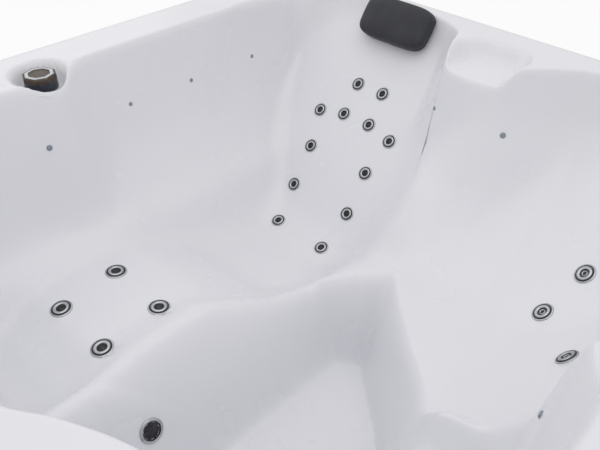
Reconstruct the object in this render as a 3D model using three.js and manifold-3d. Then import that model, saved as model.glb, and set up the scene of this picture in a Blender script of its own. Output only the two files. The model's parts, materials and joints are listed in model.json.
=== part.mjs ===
// Hot tub for two seats and a lounger, modelled in millimetres with +Z up.
// The origin is on the floor under the middle of the tub. The lounger runs along the -X side
// with its head at +Y, a corner seat fills the +X +Y corner and a second seat the +X -Y corner.
// Plan positions are given as (a, b): a is measured from the left outer edge of the rim and b
// from the head outer edge, and a depth is measured down from the top of the rim.

import * as THREE from 'three';
import { mergeVertices } from 'three/addons/utils/BufferGeometryUtils.js';
import Module from 'manifold-3d';

const wasm = await Module();
wasm.setup();

// Overall sizes.
const TUB_WIDTH = 2000;
const TUB_LENGTH = 2000;
const TUB_HEIGHT = 880;
const CORNER_RADIUS = 160;
const CLEARANCE = 0.3;

// Moulded shell.
const SHELL_WALL = 14;
const LIP_DROP = 60;
const LIP_WALL = 10;
const LIP_STEP = 6;
const LIP_STEP_WIDTH = 24;
const FOOTWELL_DEPTH = TUB_HEIGHT - 80;
const SEAT_DEPTH = 550;
const NEAR_SEAT_DEPTH = 500;
const WALL_SLOPE = 4.5;
const RIM_ROUND = 26;
const BLEND = 60;
const WIDE_BLEND = 130;
const LOUNGER_BLEND = 80;
const EDGE_ROUND = 12;

// Places measured from the right and the foot side of the rim.
const right = (inset) => TUB_WIDTH - inset;
const foot = (inset) => TUB_LENGTH - inset;

// Drinks shelf and control recesses in the rim.
const SHELF = { a: 1013, b: 232, halfWidth: 128, halfDepth: 122, corner: 85, depth: 55 };
const CONTROL_RECESS = { a: 172, b: 1240, radius: 84, depth: 50 };
const AIR_RECESS = { a: 118, b: 1408, radius: 58, depth: 12 };

// Inner edge of the rim, all round from the lounger's side at the head.
const RIM_INNER_EDGE = [
  [163, 330], [163, 640], [163, 900], [170, 1090], [205, 1175], [236, 1240], [226, 1320],
  [214, 1420], [216, foot(380)], [270, foot(190)], [450, foot(120)], [820, foot(115)],
  [right(820), foot(120)], [right(700), foot(185)], [right(580), foot(235)],
  [right(450), foot(255)], [right(320), foot(210)], [right(190), foot(150)],
  [right(125), foot(240)], [right(112), foot(440)], [right(122), foot(700)], [right(130), 1095],
  [right(112), 880], [right(96), 640], [right(98), 380], [right(150), 180], [right(300), 105],
  [right(550), 88],
  [1320, 92], [1240, 140], [1165, 210], [1100, 268], [1008, 288], [922, 264], [872, 190],
  [838, 112], [770, 74], [600, 64], [400, 68], [245, 120], [178, 215],
];

// Lounger: depth along its axis, depth across its side wall and armrest ledge, and the
// rounded ridge between it and the middle of the tub as (a, b, depth).
const LOUNGER_ALONG = [
  [60, 10], [120, 92], [256, 250], [450, 445], [620, 615], [740, 662], [900, 645],
  [1080, 560], [1200, 512], [1350, 500], [1500, 508], [1620, 556], [1730, 590], [1800, 500],
  [1880, 120],
];
const LOUNGER_ACROSS = [
  [163, 0], [200, 190], [330, 425], [400, 492], [470, 600], [560, 680], [760, 700], [2000, 700],
];
const RIDGE = [
  [920, 200, 110], [960, 300, 190], [1000, 380, 270], [1030, 500, 360], [1040, 600, 440],
  [1022, 700, 515], [992, 850, 528], [980, 1000, 500], [920, 1115, 488], [868, 1250, 455],
  [877, 1420, 448], [912, 1590, 450], [930, 1780, 440],
];
const RIDGE_SLOPE = 0.95;

// Corner seats: the back leans along a line through its foot, the arm is the side that
// faces the other seat.
const SEAT_BACK_FOOT = [right(475), 755];
const SEAT_FACING = [-0.607, 0.794];
const SEAT_BACK_SLOPE = 0.84;
const SEAT_WALL_CURVE = [
  [0, 0], [28, 95], [75, 195], [180, 350], [290, 450], [410, 520], [560, 552], [900, 560],
];
const NEAR_SEAT_BACK_FOOT = [right(370), foot(530)];
const NEAR_SEAT_FACING = [-0.85, -0.527];
const NEAR_SEAT_BACK_SLOPE = 1.3;
const NEAR_SEAT_SIDE = { a: right(740), slope: 0.9 };
const ARM = { b: 1098, slope: 1.55 };
const ARM_CREST = [
  [right(520), 500], [right(440), 410], [right(320), 372], [right(268), 300], [right(244), 200],
  [right(226), 100], [right(200), 0], [right(100), -200],
];

// Footwell: each side has a point on the floor's edge, the direction out of the footwell and
// the steepness of its wall.
const FOOTWELL_SIDES = [
  { point: [1052, 1100], out: [-1, 0.02], slope: 2.3 },
  { point: [1100, 872], out: [-0.55, -0.835], slope: 3.2 },
  { point: [right(757), 948], out: [0.65, -0.76], slope: 4.4 },
  { point: [right(625), 1066], out: [0.82, -0.57], slope: 4.4 },
  { point: [right(525), 1290], out: [0.99, -0.1], slope: 4 },
  { point: [right(545), foot(440)], out: [0.93, 0.36], slope: 4 },
  { point: [1250, foot(290)], out: [0, 1], slope: 2.6 },
];
const FOOTWELL_ROUND = 70;
const MIDDLE = [right(765), foot(790)];

// Small maths used by the form of the shell.
const clamp = (x, low, high) => Math.min(high, Math.max(low, x));
const mix = (x, y, t) => x + (y - x) * t;

function softMin(x, y, k) {
  const h = clamp(0.5 + (0.5 * (y - x)) / k, 0, 1);
  return mix(y, x, h) - k * h * (1 - h);
}

function softMax(x, y, k) {
  return -softMin(-x, -y, k);
}

function softRamp(x, k) {
  if (x <= -k) return 0;
  return x >= k ? x : ((x + k) * (x + k)) / (4 * k);
}

// Smooth curve through points whose first number rises, without overshoot.
function curve(points, column = 1) {
  const n = points.length;
  const step = [];
  for (let i = 0; i < n - 1; i += 1) {
    step.push((points[i + 1][column] - points[i][column]) / (points[i + 1][0] - points[i][0]));
  }
  const tangent = points.map((_, i) => {
    if (i === 0) return step[0];
    if (i === n - 1) return step[n - 2];
    return step[i - 1] * step[i] <= 0 ? 0 : (2 * step[i - 1] * step[i]) / (step[i - 1] + step[i]);
  });
  return (x) => {
    if (x <= points[0][0]) return points[0][column] + (x - points[0][0]) * tangent[0];
    if (x >= points[n - 1][0]) return points[n - 1][column] + (x - points[n - 1][0]) * tangent[n - 1];
    let i = 0;
    while (x > points[i + 1][0]) i += 1;
    const width = points[i + 1][0] - points[i][0];
    const t = (x - points[i][0]) / width;
    const from = points[i][column];
    const to = points[i + 1][column];
    const s = t * t * (3 - 2 * t);
    return mix(from, to, s) + width * t * (1 - t) * ((1 - t) * tangent[i] - t * tangent[i + 1]);
  };
}

// Closed spline through the corner points of the rim's inner edge.
function closedSpline(points, pitch) {
  const path = new THREE.CatmullRomCurve3(
    points.map(([a, b]) => new THREE.Vector3(a, b, 0)), true, 'centripetal');
  const samples = [];
  points.forEach(([a, b], i) => {
    const [nextA, nextB] = points[(i + 1) % points.length];
    const count = Math.max(1, Math.round(Math.hypot(nextA - a, nextB - b) / pitch));
    for (let j = 0; j < count; j += 1) {
      const p = path.getPoint((i + j / count) / points.length);
      samples.push([p.x, p.y]);
    }
  });
  return samples;
}

const EDGE_FINE = closedSpline(RIM_INNER_EDGE, 22);

// Distance inside the rim's inner edge, negative on the rim.
function edgeDistance(a, b) {
  let nearest = Infinity;
  let inside = false;
  for (let i = 0, j = EDGE_FINE.length - 1; i < EDGE_FINE.length; j = i, i += 1) {
    const [a0, b0] = EDGE_FINE[j];
    const [a1, b1] = EDGE_FINE[i];
    const length2 = (a1 - a0) ** 2 + (b1 - b0) ** 2;
    const t = clamp(((a - a0) * (a1 - a0) + (b - b0) * (b1 - b0)) / length2, 0, 1);
    nearest = Math.min(nearest, Math.hypot(a - a0 - t * (a1 - a0), b - b0 - t * (b1 - b0)));
    if (b0 > b !== b1 > b && a < a0 + ((b - b0) / (b1 - b0)) * (a1 - a0)) inside = !inside;
  }
  return inside ? nearest : -nearest;
}

function roundedBoxDistance(a, b, box) {
  const da = Math.abs(a - box.a) - box.halfWidth + box.corner;
  const db = Math.abs(b - box.b) - box.halfDepth + box.corner;
  return box.corner - Math.hypot(Math.max(da, 0), Math.max(db, 0)) - Math.min(Math.max(da, db), 0);
}

const loungerAlong = curve(LOUNGER_ALONG);
const loungerAcross = curve(LOUNGER_ACROSS);
const ridgeLine = curve(RIDGE.map(([a, b, depth]) => [b, a, depth]), 1);
const ridgeDepth = curve(RIDGE.map(([a, b, depth]) => [b, a, depth]), 2);
const seatWall = curve(SEAT_WALL_CURVE);
const armCrest = curve(ARM_CREST);

function footwellSides(a, b) {
  return FOOTWELL_SIDES.reduce((steepest, { point, out, slope }) => {
    const size = Math.hypot(...out);
    const rise = (slope * ((a - point[0]) * out[0] + (b - point[1]) * out[1])) / size;
    return steepest === null ? rise : softMax(steepest, rise, FOOTWELL_ROUND);
  }, null);
}

function behind(a, b, footPoint, facing) {
  return ((footPoint[0] - a) * facing[0] + (footPoint[1] - b) * facing[1]) / Math.hypot(...facing);
}

function loungerDepth(a, b) {
  const bed = softMin(loungerAlong(b), loungerAcross(a), LOUNGER_BLEND);
  return softMin(bed, ridgeDepth(b) + RIDGE_SLOPE * (ridgeLine(b) - a), BLEND);
}

function cornerSeatDepth(a, b, wall) {
  const back = SEAT_DEPTH - SEAT_BACK_SLOPE * behind(a, b, SEAT_BACK_FOOT, SEAT_FACING);
  const bed = softMin(softMin(SEAT_DEPTH, back, BLEND), seatWall(wall), WIDE_BLEND);
  const besideRidge = ridgeDepth(b) + RIDGE_SLOPE * (a - ridgeLine(b));
  const besideArm = armCrest(a) + ARM.slope * (ARM.b - b);
  return softMin(softMin(bed, besideRidge, BLEND), besideArm, BLEND / 2);
}

function nearSeatDepth(a, b) {
  const back = NEAR_SEAT_DEPTH - NEAR_SEAT_BACK_SLOPE * behind(a, b, NEAR_SEAT_BACK_FOOT, NEAR_SEAT_FACING);
  const bed = softMin(NEAR_SEAT_DEPTH, back, BLEND);
  const side = NEAR_SEAT_DEPTH + NEAR_SEAT_SIDE.slope * (a - NEAR_SEAT_SIDE.a);
  const besideArm = armCrest(a) + ARM.slope * (b - ARM.b);
  return softMin(softMin(bed, side, BLEND), besideArm, BLEND / 2);
}

function seatsDepth(a, b, wall) {
  const seats = softMax(cornerSeatDepth(a, b, wall), nearSeatDepth(a, b), BLEND / 2);
  return softMax(loungerDepth(a, b), seats, BLEND);
}

function footwellDepth(a, b) {
  return softMin(FOOTWELL_DEPTH, FOOTWELL_DEPTH - footwellSides(a, b), BLEND);
}

function shelfDepth(a, b) {
  return softMin(SHELF.depth, 2 * roundedBoxDistance(a, b, SHELF), 24);
}

function recessDepth(a, b, recess) {
  return softMin(recess.depth, 2.2 * (recess.radius - Math.hypot(a - recess.a, b - recess.b)), 16);
}

// Depth of the shell's face under the top of the rim.
function depthAt(a, b) {
  const wall = edgeDistance(a, b);
  const hollow = softMax(seatsDepth(a, b, wall), footwellDepth(a, b), BLEND);
  const tub = softMin(hollow, WALL_SLOPE * softRamp(wall, EDGE_ROUND), BLEND);
  const withShelf = softMax(tub, shelfDepth(a, b), RIM_ROUND);
  const withRecess = softMax(withShelf, recessDepth(a, b, CONTROL_RECESS), RIM_ROUND);
  return softRamp(softMax(withRecess, recessDepth(a, b, AIR_RECESS), 10), RIM_ROUND / 2);
}

// The shell's mesh runs in columns from its outer lip to the middle of the footwell.
const COLUMN_PITCH = 104;
const CORNER_FACETS = 4;
const SEAT_ROWS = 8;

function bisect(test, low, high) {
  for (let i = 0; i < 30; i += 1) {
    const middle = (low + high) / 2;
    if (test(middle)) high = middle;
    else low = middle;
  }
  return (low + high) / 2;
}

class Column {
  constructor([a, b]) {
    this.edge = Math.hypot(a - MIDDLE[0], b - MIDDLE[1]);
    this.out = [(a - MIDDLE[0]) / this.edge, (b - MIDDLE[1]) / this.edge];
    const overCrest = (t) => {
      const [pa, pb] = this.plan(t);
      return footwellDepth(pa, pb) < seatsDepth(pa, pb, edgeDistance(pa, pb));
    };
    let near = 0;
    while (!overCrest(near) && near < this.edge - 110) near += 12;
    this.crest = bisect(overCrest, Math.max(0, near - 12), near);
    this.floor = bisect((t) => depthAt(...this.plan(t)) < FOOTWELL_DEPTH - 1, 0, this.crest);
  }

  plan(t) {
    return [MIDDLE[0] + this.out[0] * t, MIDDLE[1] + this.out[1] * t];
  }

  // Distance from the middle to the rim's outline, moved in by the inset.
  outline(inset) {
    const box = {
      a: TUB_WIDTH / 2, b: TUB_LENGTH / 2, halfWidth: TUB_WIDTH / 2 - inset,
      halfDepth: TUB_LENGTH / 2 - inset, corner: Math.max(1, CORNER_RADIUS - inset),
    };
    return bisect((t) => roundedBoxDistance(...this.plan(t), box) < 0, 0, TUB_WIDTH + TUB_LENGTH);
  }
}

function toWorld(a, b, depth) {
  return [a - TUB_WIDTH / 2, TUB_LENGTH / 2 - b, TUB_HEIGHT - depth];
}

function faceNormal(a, b) {
  const h = 3;
  const alongA = (depthAt(a + h, b) - depthAt(a - h, b)) / (2 * h);
  const alongB = (depthAt(a, b + h) - depthAt(a, b - h)) / (2 * h);
  return new THREE.Vector3(alongA, -alongB, 1).normalize();
}

function facePoint(a, b) {
  return new THREE.Vector3(...toWorld(a, b, depthAt(a, b)));
}

function shellRows() {
  const lip = [
    [LIP_WALL, LIP_DROP], [0, LIP_DROP], [0, LIP_STEP + 8], [4, LIP_STEP],
    [LIP_STEP_WIDTH, LIP_STEP], [LIP_STEP_WIDTH + 4, 0],
  ].map(([inset, depth]) => (column) => toWorld(...column.plan(column.outline(inset)), depth));
  const face = (where) => (column) => facePoint(...column.plan(where(column))).toArray();
  const back = (where) => (column) => {
    const plan = column.plan(where(column));
    return facePoint(...plan).addScaledVector(faceNormal(...plan), -SHELL_WALL).toArray();
  };
  const onRim = (share) => (column) => mix(column.outline(LIP_STEP_WIDTH + 4), column.edge, share);
  const inFrom = (distance) => (column) => column.edge - distance;
  const wallFoot = 50;
  const crestLap = 30;
  const onSeat = (share) => (column) => mix(column.edge - wallFoot, column.crest + crestLap, share);
  const seatShares = Array.from({ length: SEAT_ROWS }, (_, i) => (i + 1) / SEAT_ROWS);
  const floorLap = 18;
  const wallRow = (column) => mix(column.floor + floorLap, column.crest - crestLap / 2, 0.5);
  const front = [
    ...lip,
    ...[0.4, 0.75].map((share) => face(onRim(share))),
    ...[-7, 4, 12, 26, wallFoot].map((distance) => face(inFrom(distance))),
    ...seatShares.map((share) => face(onSeat(share))),
    face((column) => column.crest),
    face((column) => column.crest - crestLap / 2),
    face(wallRow),
    face((column) => column.floor + floorLap),
    face((column) => column.floor),
  ];
  const clearOfFrame = 47;
  const behindLip = (inset, depth) => (column) => toWorld(...column.plan(column.outline(inset)), depth);
  const rear = [
    back((column) => column.floor),
    back((column) => column.floor + floorLap),
    back((column) => column.crest - crestLap / 2),
    back((column) => column.crest),
    ...[...seatShares].reverse().map((share) => back(onSeat(share))),
    ...[wallFoot, 26, 8].map((distance) => back(inFrom(distance))),
    (column) => {
      const [a, b] = column.plan(column.edge + 8);
      return toWorld(a, b, depthAt(a, b) + SHELL_WALL);
    },
    (column) => {
      const [a, b] = column.plan(mix(column.outline(clearOfFrame + 3), column.edge, 0.4));
      return toWorld(a, b, depthAt(a, b) + SHELL_WALL);
    },
    behindLip(clearOfFrame, SHELL_WALL),
    behindLip(LIP_WALL, LIP_STEP + SHELL_WALL),
  ];
  return { front, rear };
}

// Joins rings of points into one closed body, with a centre point under each end of the rows.
function closedRings(front, rear, columns, centreFront, centreBack) {
  const positions = [];
  const triangles = [];
  const count = columns.length;
  const addRing = (row) => {
    const start = positions.length / 3;
    columns.forEach((column) => positions.push(...row(column)));
    return start;
  };
  const addPoint = (point) => {
    positions.push(...point);
    return positions.length / 3 - 1;
  };
  const band = (outer, inner) => {
    for (let j = 0; j < count; j += 1) {
      const k = (j + 1) % count;
      triangles.push(outer + j, outer + k, inner + k, outer + j, inner + k, inner + j);
    }
  };
  const frontStarts = front.map(addRing);
  const rearStarts = rear.map(addRing);
  frontStarts.slice(1).forEach((start, i) => band(frontStarts[i], start));
  rearStarts.slice(1).forEach((start, i) => band(rearStarts[i], start));
  band(rearStarts[rearStarts.length - 1], frontStarts[0]);
  const top = addPoint(centreFront);
  const under = addPoint(centreBack);
  const lastFront = frontStarts[frontStarts.length - 1];
  for (let j = 0; j < count; j += 1) {
    const k = (j + 1) % count;
    triangles.push(lastFront + j, lastFront + k, top);
    triangles.push(rearStarts[0] + k, rearStarts[0] + j, under);
  }
  const geometry = new THREE.BufferGeometry();
  geometry.setAttribute('position', new THREE.Float32BufferAttribute(positions, 3));
  geometry.setIndex(triangles);
  return geometry;
}

// Solids for cutting and joining.
function solidOf(geometry) {
  const bare = geometry.clone();
  bare.deleteAttribute('normal');
  bare.deleteAttribute('uv');
  const merged = mergeVertices(bare, 1e-4);
  return new wasm.Manifold(new wasm.Mesh({
    numProp: 3,
    vertProperties: new Float32Array(merged.attributes.position.array),
    triVerts: new Uint32Array(merged.index.array),
  }));
}

function geometryOf(solid) {
  const mesh = solid.getMesh();
  const geometry = new THREE.BufferGeometry();
  geometry.setAttribute('position', new THREE.BufferAttribute(mesh.vertProperties, 3));
  geometry.setIndex(new THREE.BufferAttribute(mesh.triVerts, 1));
  return geometry;
}

// A turned piece about +Z, from (radius, height) points that start and end on the axis.
function turned(profile, sides) {
  const geometry = new THREE.LatheGeometry(profile.map(([r, z]) => new THREE.Vector2(r, z)), sides);
  return geometry.rotateX(Math.PI / 2);
}

function box(low, high) {
  const size = low.map((value, i) => high[i] - value);
  return new THREE.BoxGeometry(...size).translate(...low.map((value, i) => value + size[i] / 2));
}

function placed(geometry, point, direction) {
  const turn = new THREE.Quaternion().setFromUnitVectors(new THREE.Vector3(0, 0, 1), direction);
  return geometry.clone().applyQuaternion(turn).translate(point.x, point.y, point.z);
}

function rod(from, to, radius, sides = 8) {
  const span = new THREE.Vector3().subVectors(to, from);
  const profile = [[0, 0], [radius, 0], [radius, span.length()], [0, span.length()]];
  return placed(turned(profile, sides), from, span.normalize());
}

function joined(geometries) {
  return geometryOf(geometries.map(solidOf).reduce((all, next) => all.add(next)));
}

// Finishes.
const finish = (color, roughness, metalness = 0) => new THREE.MeshStandardMaterial({
  color, roughness, metalness,
});
const FINISH = {
  acrylic: finish(0xeeeef3, 0.18),
  cabinet: finish(0x5d5a57, 0.6),
  frame: finish(0xa8adb0, 0.45, 0.9),
  board: finish(0xd8cfae, 0.85),
  pan: finish(0x2c2d2f, 0.6),
  pillow: finish(0x34353a, 0.75),
  steel: finish(0xc9cbcd, 0.25, 1),
  black: finish(0x141518, 0.35),
  pipe: finish(0xe2e3df, 0.5),
  lens: finish(0x9aa3ad, 0.2),
  pewter: finish(0x6f675c, 0.35, 0.8),
  motor: finish(0x2a3c5c, 0.4, 0.3),
  pleats: finish(0xf0efe8, 0.9),
};

const tub = new THREE.Group();
tub.name = 'hot_tub';

function addPiece(name, geometry, material, parent = tub) {
  const piece = new THREE.Mesh(geometry, material);
  piece.name = name;
  parent.add(piece);
  return piece;
}

// Water fittings of the shell. A fitting's own frame has its origin on the shell's face and +Z
// pointing into the tub.
const HOLE_SIDES = 10;
const FACE_SIDES = 10;
const BODY_GAP = 12;
const BODY_DEPTH = 44;
const PIPE_RADIUS = 13;
const BACK_JET = { flange: 25, throat: 19, height: 7 };
const CALF_JET = { flange: 32, throat: 24, height: 8 };
const SEAT_JET = { flange: 30, throat: 23, height: 8 };
const WHIRL_JET = { flange: 34, throat: 26, height: 9 };
const SUCTION = { flange: 48, throat: 24, height: 14 };

const LOUNGER_AXIS = { a: 607, b: 254, lean: 0.14 };
const BACK_JET_ROWS = [[254, 56], [336, 58], [352, 162], [447, 130], [549, 129], [668, 106]];
const CALF_JET_ROWS = [[1307, 640, 108], [1501, 656, 105]];
const CORNER_SEAT_JETS = [
  [right(422), 507], [right(459), 627], [right(272), 668], [right(319), 784],
];
const NEAR_SEAT_JETS = [[right(347), foot(398)], [right(244), foot(562)]];
const WHIRL_AT = { towards: [882, 1650], depth: FOOTWELL_DEPTH - 173 };
const SUCTION_AT = [
  { towards: [right(300), 1330], depth: FOOTWELL_DEPTH - 100 },
  { towards: [1180, foot(100)], depth: FOOTWELL_DEPTH - 100 },
];
const LIGHT_DEPTH = 186;
const LIGHTS_TOWARDS = [
  [214, 1310], [163, 972], [163, 715], [163, 425], [900, 252], [1160, 215], [right(200), 1140],
];
const LIGHT = { lens: 10, stem: 6, height: 4, length: 36 };
const CABLE_RADIUS = 3;

function frameAt(a, b) {
  return { point: facePoint(a, b), normal: faceNormal(a, b) };
}

// Frame on a steep wall, found along the ray from the middle towards a plan point.
function wallFrame(towards, depth, high, low) {
  const column = new Column(towards);
  const t = bisect((s) => depthAt(...column.plan(s)) < depth, low(column), high(column));
  return frameAt(...column.plan(t));
}

const rimEdgeOf = (towards) => {
  const column = new Column(towards);
  let t = column.crest;
  while (edgeDistance(...column.plan(t)) > 0) t += 6;
  return t;
};
const waterlineFrame = (towards) => wallFrame(
  towards, LIGHT_DEPTH, () => rimEdgeOf(towards), () => rimEdgeOf(towards) - 260);
const footwellFrame = ({ towards, depth }) => wallFrame(
  towards, depth, (column) => column.crest, (column) => column.floor);

const loungerAxis = (b) => LOUNGER_AXIS.a + LOUNGER_AXIS.lean * (b - LOUNGER_AXIS.b);
const backJets = BACK_JET_ROWS.flatMap(([b, half]) => [-half, half].map((side) => (
  frameAt(loungerAxis(b) + side, b))));
const calfJets = CALF_JET_ROWS.flatMap(([b, a, half]) => [frameAt(a - half, b), frameAt(a + half, b)]);
const cornerSeatJets = CORNER_SEAT_JETS.map((at) => frameAt(...at));
const nearSeatJets = NEAR_SEAT_JETS.map((at) => frameAt(...at));
const whirlJet = footwellFrame(WHIRL_AT);
const suctions = SUCTION_AT.map(footwellFrame);
const lights = LIGHTS_TOWARDS.map(waterlineFrame);

// Cutter for a fitting: a flat seat in the face and a round hole through the wall.
function fittingCutter({ point, normal }, jet, sides = HOLE_SIDES) {
  const seat = jet.flange * 1.06 + 1;
  const reach = SHELL_WALL * 4;
  const profile = [
    [0, -reach], [jet.throat, -reach], [jet.throat, 0], [seat, 0], [seat, reach / 2],
    [0, reach / 2],
  ];
  return solidOf(placed(turned(profile, sides), point, normal));
}

function jetFaceProfile({ flange, throat, height }) {
  return [
    [0, CLEARANCE], [flange, CLEARANCE], [flange, 1.5], [flange - 4, height], [throat * 0.55, height],
    [throat * 0.42, 2], [0, 2],
  ];
}

// The body behind the wall: a neck in the hole and a chamber that the water pipe joins.
function jetBody({ point, normal }, jet) {
  const neck = jet.throat - CLEARANCE;
  const chamber = jet.flange + 2;
  const top = -SHELL_WALL - BODY_GAP;
  const profile = [
    [0, top - BODY_DEPTH], [chamber, top - BODY_DEPTH], [chamber, top], [neck, top],
    [neck, -CLEARANCE], [0, -CLEARANCE],
  ];
  return placed(turned(profile, HOLE_SIDES), point, normal);
}

function bodyCentre({ point, normal }) {
  return point.clone().addScaledVector(normal, -SHELL_WALL - BODY_GAP - BODY_DEPTH * 0.6);
}

function pipeRun(points, radius = PIPE_RADIUS) {
  return points.slice(1).map((point, i) => rod(points[i], point, radius, 6));
}

function manifold(name, frames, jet, order, feed) {
  const centres = order.map((chain) => chain.map((i) => bodyCentre(frames[i])));
  const runs = centres.flatMap((chain) => pipeRun(chain));
  const bodies = frames.map((frame) => jetBody(frame, jet));
  const pipes = feed ? pipeRun(feed(centres)) : [];
  return addPiece(name, joined([...bodies, ...runs, ...pipes]), FINISH.pipe);
}

function addJets(prefix, frames, jet, material = FINISH.steel) {
  frames.forEach(({ point, normal }, i) => {
    const number = String(i + 1).padStart(2, '0');
    const face = addPiece(`${prefix}_${number}`, turned(jetFaceProfile(jet), FACE_SIDES), material);
    face.position.copy(point);
    face.quaternion.setFromUnitVectors(new THREE.Vector3(0, 0, 1), normal);
  });
}

// Filter, controls and the holes they need in the rim.
const FILTER = {
  a: 150, b: foot(150), lid: 76, lidWall: 6, bore: 62, wall: 3, depth: 270, flangeWall: 3,
};
const FILTER_HOLE = FILTER.bore + FILTER.wall + CLEARANCE;
const FILTER_RECESS = FILTER.flangeWall + FILTER.lidWall + CLEARANCE * 2;
const DIVERTER = { radius: 50, height: 46, stem: 22, bodyRadius: 34, bodyDepth: 70, sides: 8 };
const AIR_KNOB = { radius: 38, height: 26, stem: 14, bodyRadius: 22, bodyDepth: 50, sides: 8 };

function uprightCutter(a, b, profile, sides = 20) {
  const [x, y] = toWorld(a, b, 0);
  return solidOf(turned(profile, sides).translate(x, y, 0));
}

function stemCutter(recess, knob) {
  const floor = TUB_HEIGHT - recess.depth;
  return uprightCutter(recess.a, recess.b, [
    [0, floor - 60], [knob.stem + CLEARANCE, floor - 60], [knob.stem + CLEARANCE, floor],
    [knob.radius + 3, floor], [knob.radius + 3, TUB_HEIGHT + 20], [0, TUB_HEIGHT + 20],
  ], 12);
}

function filterCutter() {
  const seat = TUB_HEIGHT - FILTER_RECESS;
  return uprightCutter(FILTER.a, FILTER.b, [
    [0, TUB_HEIGHT - 80], [FILTER_HOLE, TUB_HEIGHT - 80], [FILTER_HOLE, seat],
    [FILTER.lid + 1, seat], [FILTER.lid + 1, TUB_HEIGHT + 20], [0, TUB_HEIGHT + 20],
  ]);
}

// Columns towards the rim's inner edge, with closer ones towards the rounded corners.
function shellColumns() {
  const angleOf = ([a, b]) => Math.atan2(b - MIDDLE[1], a - MIDDLE[0]);
  const corners = roundedPlan(0).map(({ x, y }) => [x + TUB_WIDTH / 2, TUB_LENGTH / 2 - y]);
  const cornerColumns = corners.map((point) => {
    const reach = Math.hypot(point[0] - MIDDLE[0], point[1] - MIDDLE[1]);
    const along = (t) => [0, 1].map((i) => mix(MIDDLE[i], point[i], t / reach));
    return along(bisect((t) => edgeDistance(...along(t)) < 0, 300, reach));
  });
  const between = closedSpline(RIM_INNER_EDGE, COLUMN_PITCH).filter((point) => (
    cornerColumns.every((corner) => Math.hypot(point[0] - corner[0], point[1] - corner[1]) > 45)));
  return [...cornerColumns, ...between].sort((p, q) => angleOf(q) - angleOf(p))
    .map((point) => new Column(point));
}

function acrylicShell() {
  const columns = shellColumns();
  const { front, rear } = shellRows();
  const centre = toWorld(...MIDDLE, FOOTWELL_DEPTH);
  const under = toWorld(...MIDDLE, FOOTWELL_DEPTH + SHELL_WALL);
  const cutters = [
    ...backJets.map((frame) => fittingCutter(frame, BACK_JET)),
    ...calfJets.map((frame) => fittingCutter(frame, CALF_JET)),
    ...[...cornerSeatJets, ...nearSeatJets].map((frame) => fittingCutter(frame, SEAT_JET)),
    fittingCutter(whirlJet, WHIRL_JET),
    ...suctions.map((frame) => fittingCutter(frame, SUCTION)),
    ...lights.map((frame) => (
      fittingCutter(frame, { flange: LIGHT.lens, throat: LIGHT.stem + CLEARANCE }, 6))),
    stemCutter(CONTROL_RECESS, DIVERTER),
    stemCutter(AIR_RECESS, AIR_KNOB),
    filterCutter(),
  ];
  const blank = solidOf(closedRings(front, rear, columns, centre, under));
  return geometryOf(cutters.reduce((shell, cutter) => shell.subtract(cutter), blank).simplify(0.02));
}

addPiece('acrylic_shell', acrylicShell(), FINISH.acrylic);
addJets('back_jet_face', backJets, BACK_JET);
addJets('calf_jet_face', calfJets, CALF_JET);
addJets('seat_jet_face', [...cornerSeatJets, ...nearSeatJets], SEAT_JET);

// Pipes under the shell that join the bodies of the jets.
const down = (point, drop) => point.clone().add(new THREE.Vector3(0, 0, -drop));
const at = (a, b, z) => new THREE.Vector3(a - TUB_WIDTH / 2, TUB_LENGTH / 2 - b, z);
const SIDE_RUN = { a: right(92), z: 260 };
const FOOT_RUN = { b: foot(110) };
const SUCTION_RUN = { a: right(330), z: 150 };
const PAN = { thickness: 30, plinth: 36 };
const seatJets = [...cornerSeatJets, ...nearSeatJets];

manifold('lounge_jet_manifold', backJets, BACK_JET, [
  [4, 2, 0, 1, 3, 5, 7, 9, 11], [4, 6, 8, 10],
]);

const calfCentres = calfJets.map(bodyCentre);
addPiece('calf_jet_manifold', joined([
  ...calfJets.map((frame) => jetBody(frame, CALF_JET)),
  jetBody(whirlJet, WHIRL_JET),
  ...pipeRun([calfCentres[0], calfCentres[1], calfCentres[3], calfCentres[2], calfCentres[0]]),
  ...pipeRun([calfCentres[3], bodyCentre(whirlJet)]),
]), FINISH.pipe);

manifold('seat_jet_manifold', seatJets, SEAT_JET, [[0, 1, 3, 2], [4, 5]], ([corner, near]) => [
  corner[3], at(SIDE_RUN.a, 760, SIDE_RUN.z), at(SIDE_RUN.a, foot(460), SIDE_RUN.z), near[1],
]);

const suctionCentres = suctions.map(bodyCentre);
const PUMP = { a: 720, b: foot(750), z: 132, radius: 74, length: 56, wall: 6, port: 24 };
addPiece('suction_manifold', joined([
  ...suctions.map((frame) => jetBody(frame, SUCTION)),
  ...pipeRun([
    suctionCentres[0], at(SUCTION_RUN.a, 1300, SUCTION_RUN.z),
    at(SUCTION_RUN.a, FOOT_RUN.b, SUCTION_RUN.z), at(1195, FOOT_RUN.b, SUCTION_RUN.z),
    at(880, FOOT_RUN.b, SUCTION_RUN.z), at(880, PUMP.b, PUMP.z),
    at(PUMP.a + PUMP.length / 2 + CLEARANCE, PUMP.b, PUMP.z),
  ]),
  ...pipeRun([suctionCentres[1], at(1195, FOOT_RUN.b, SUCTION_RUN.z)]),
]), FINISH.pipe);

// Pump: a volute with an open port towards the footwell, a wheel on the motor's shaft.
const SHAFT = { radius: 8, reach: 40 };
const WHEEL = { radius: 52, thickness: 16, vanes: 6 };
const MOTOR = { radius: 62, length: 210, spread: 60 };
const alongX = (geometry, x) => geometry.rotateY(Math.PI / 2).translate(
  x, TUB_LENGTH / 2 - PUMP.b, PUMP.z);
const pumpX = PUMP.a - TUB_WIDTH / 2;
const half = PUMP.length / 2;

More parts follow.
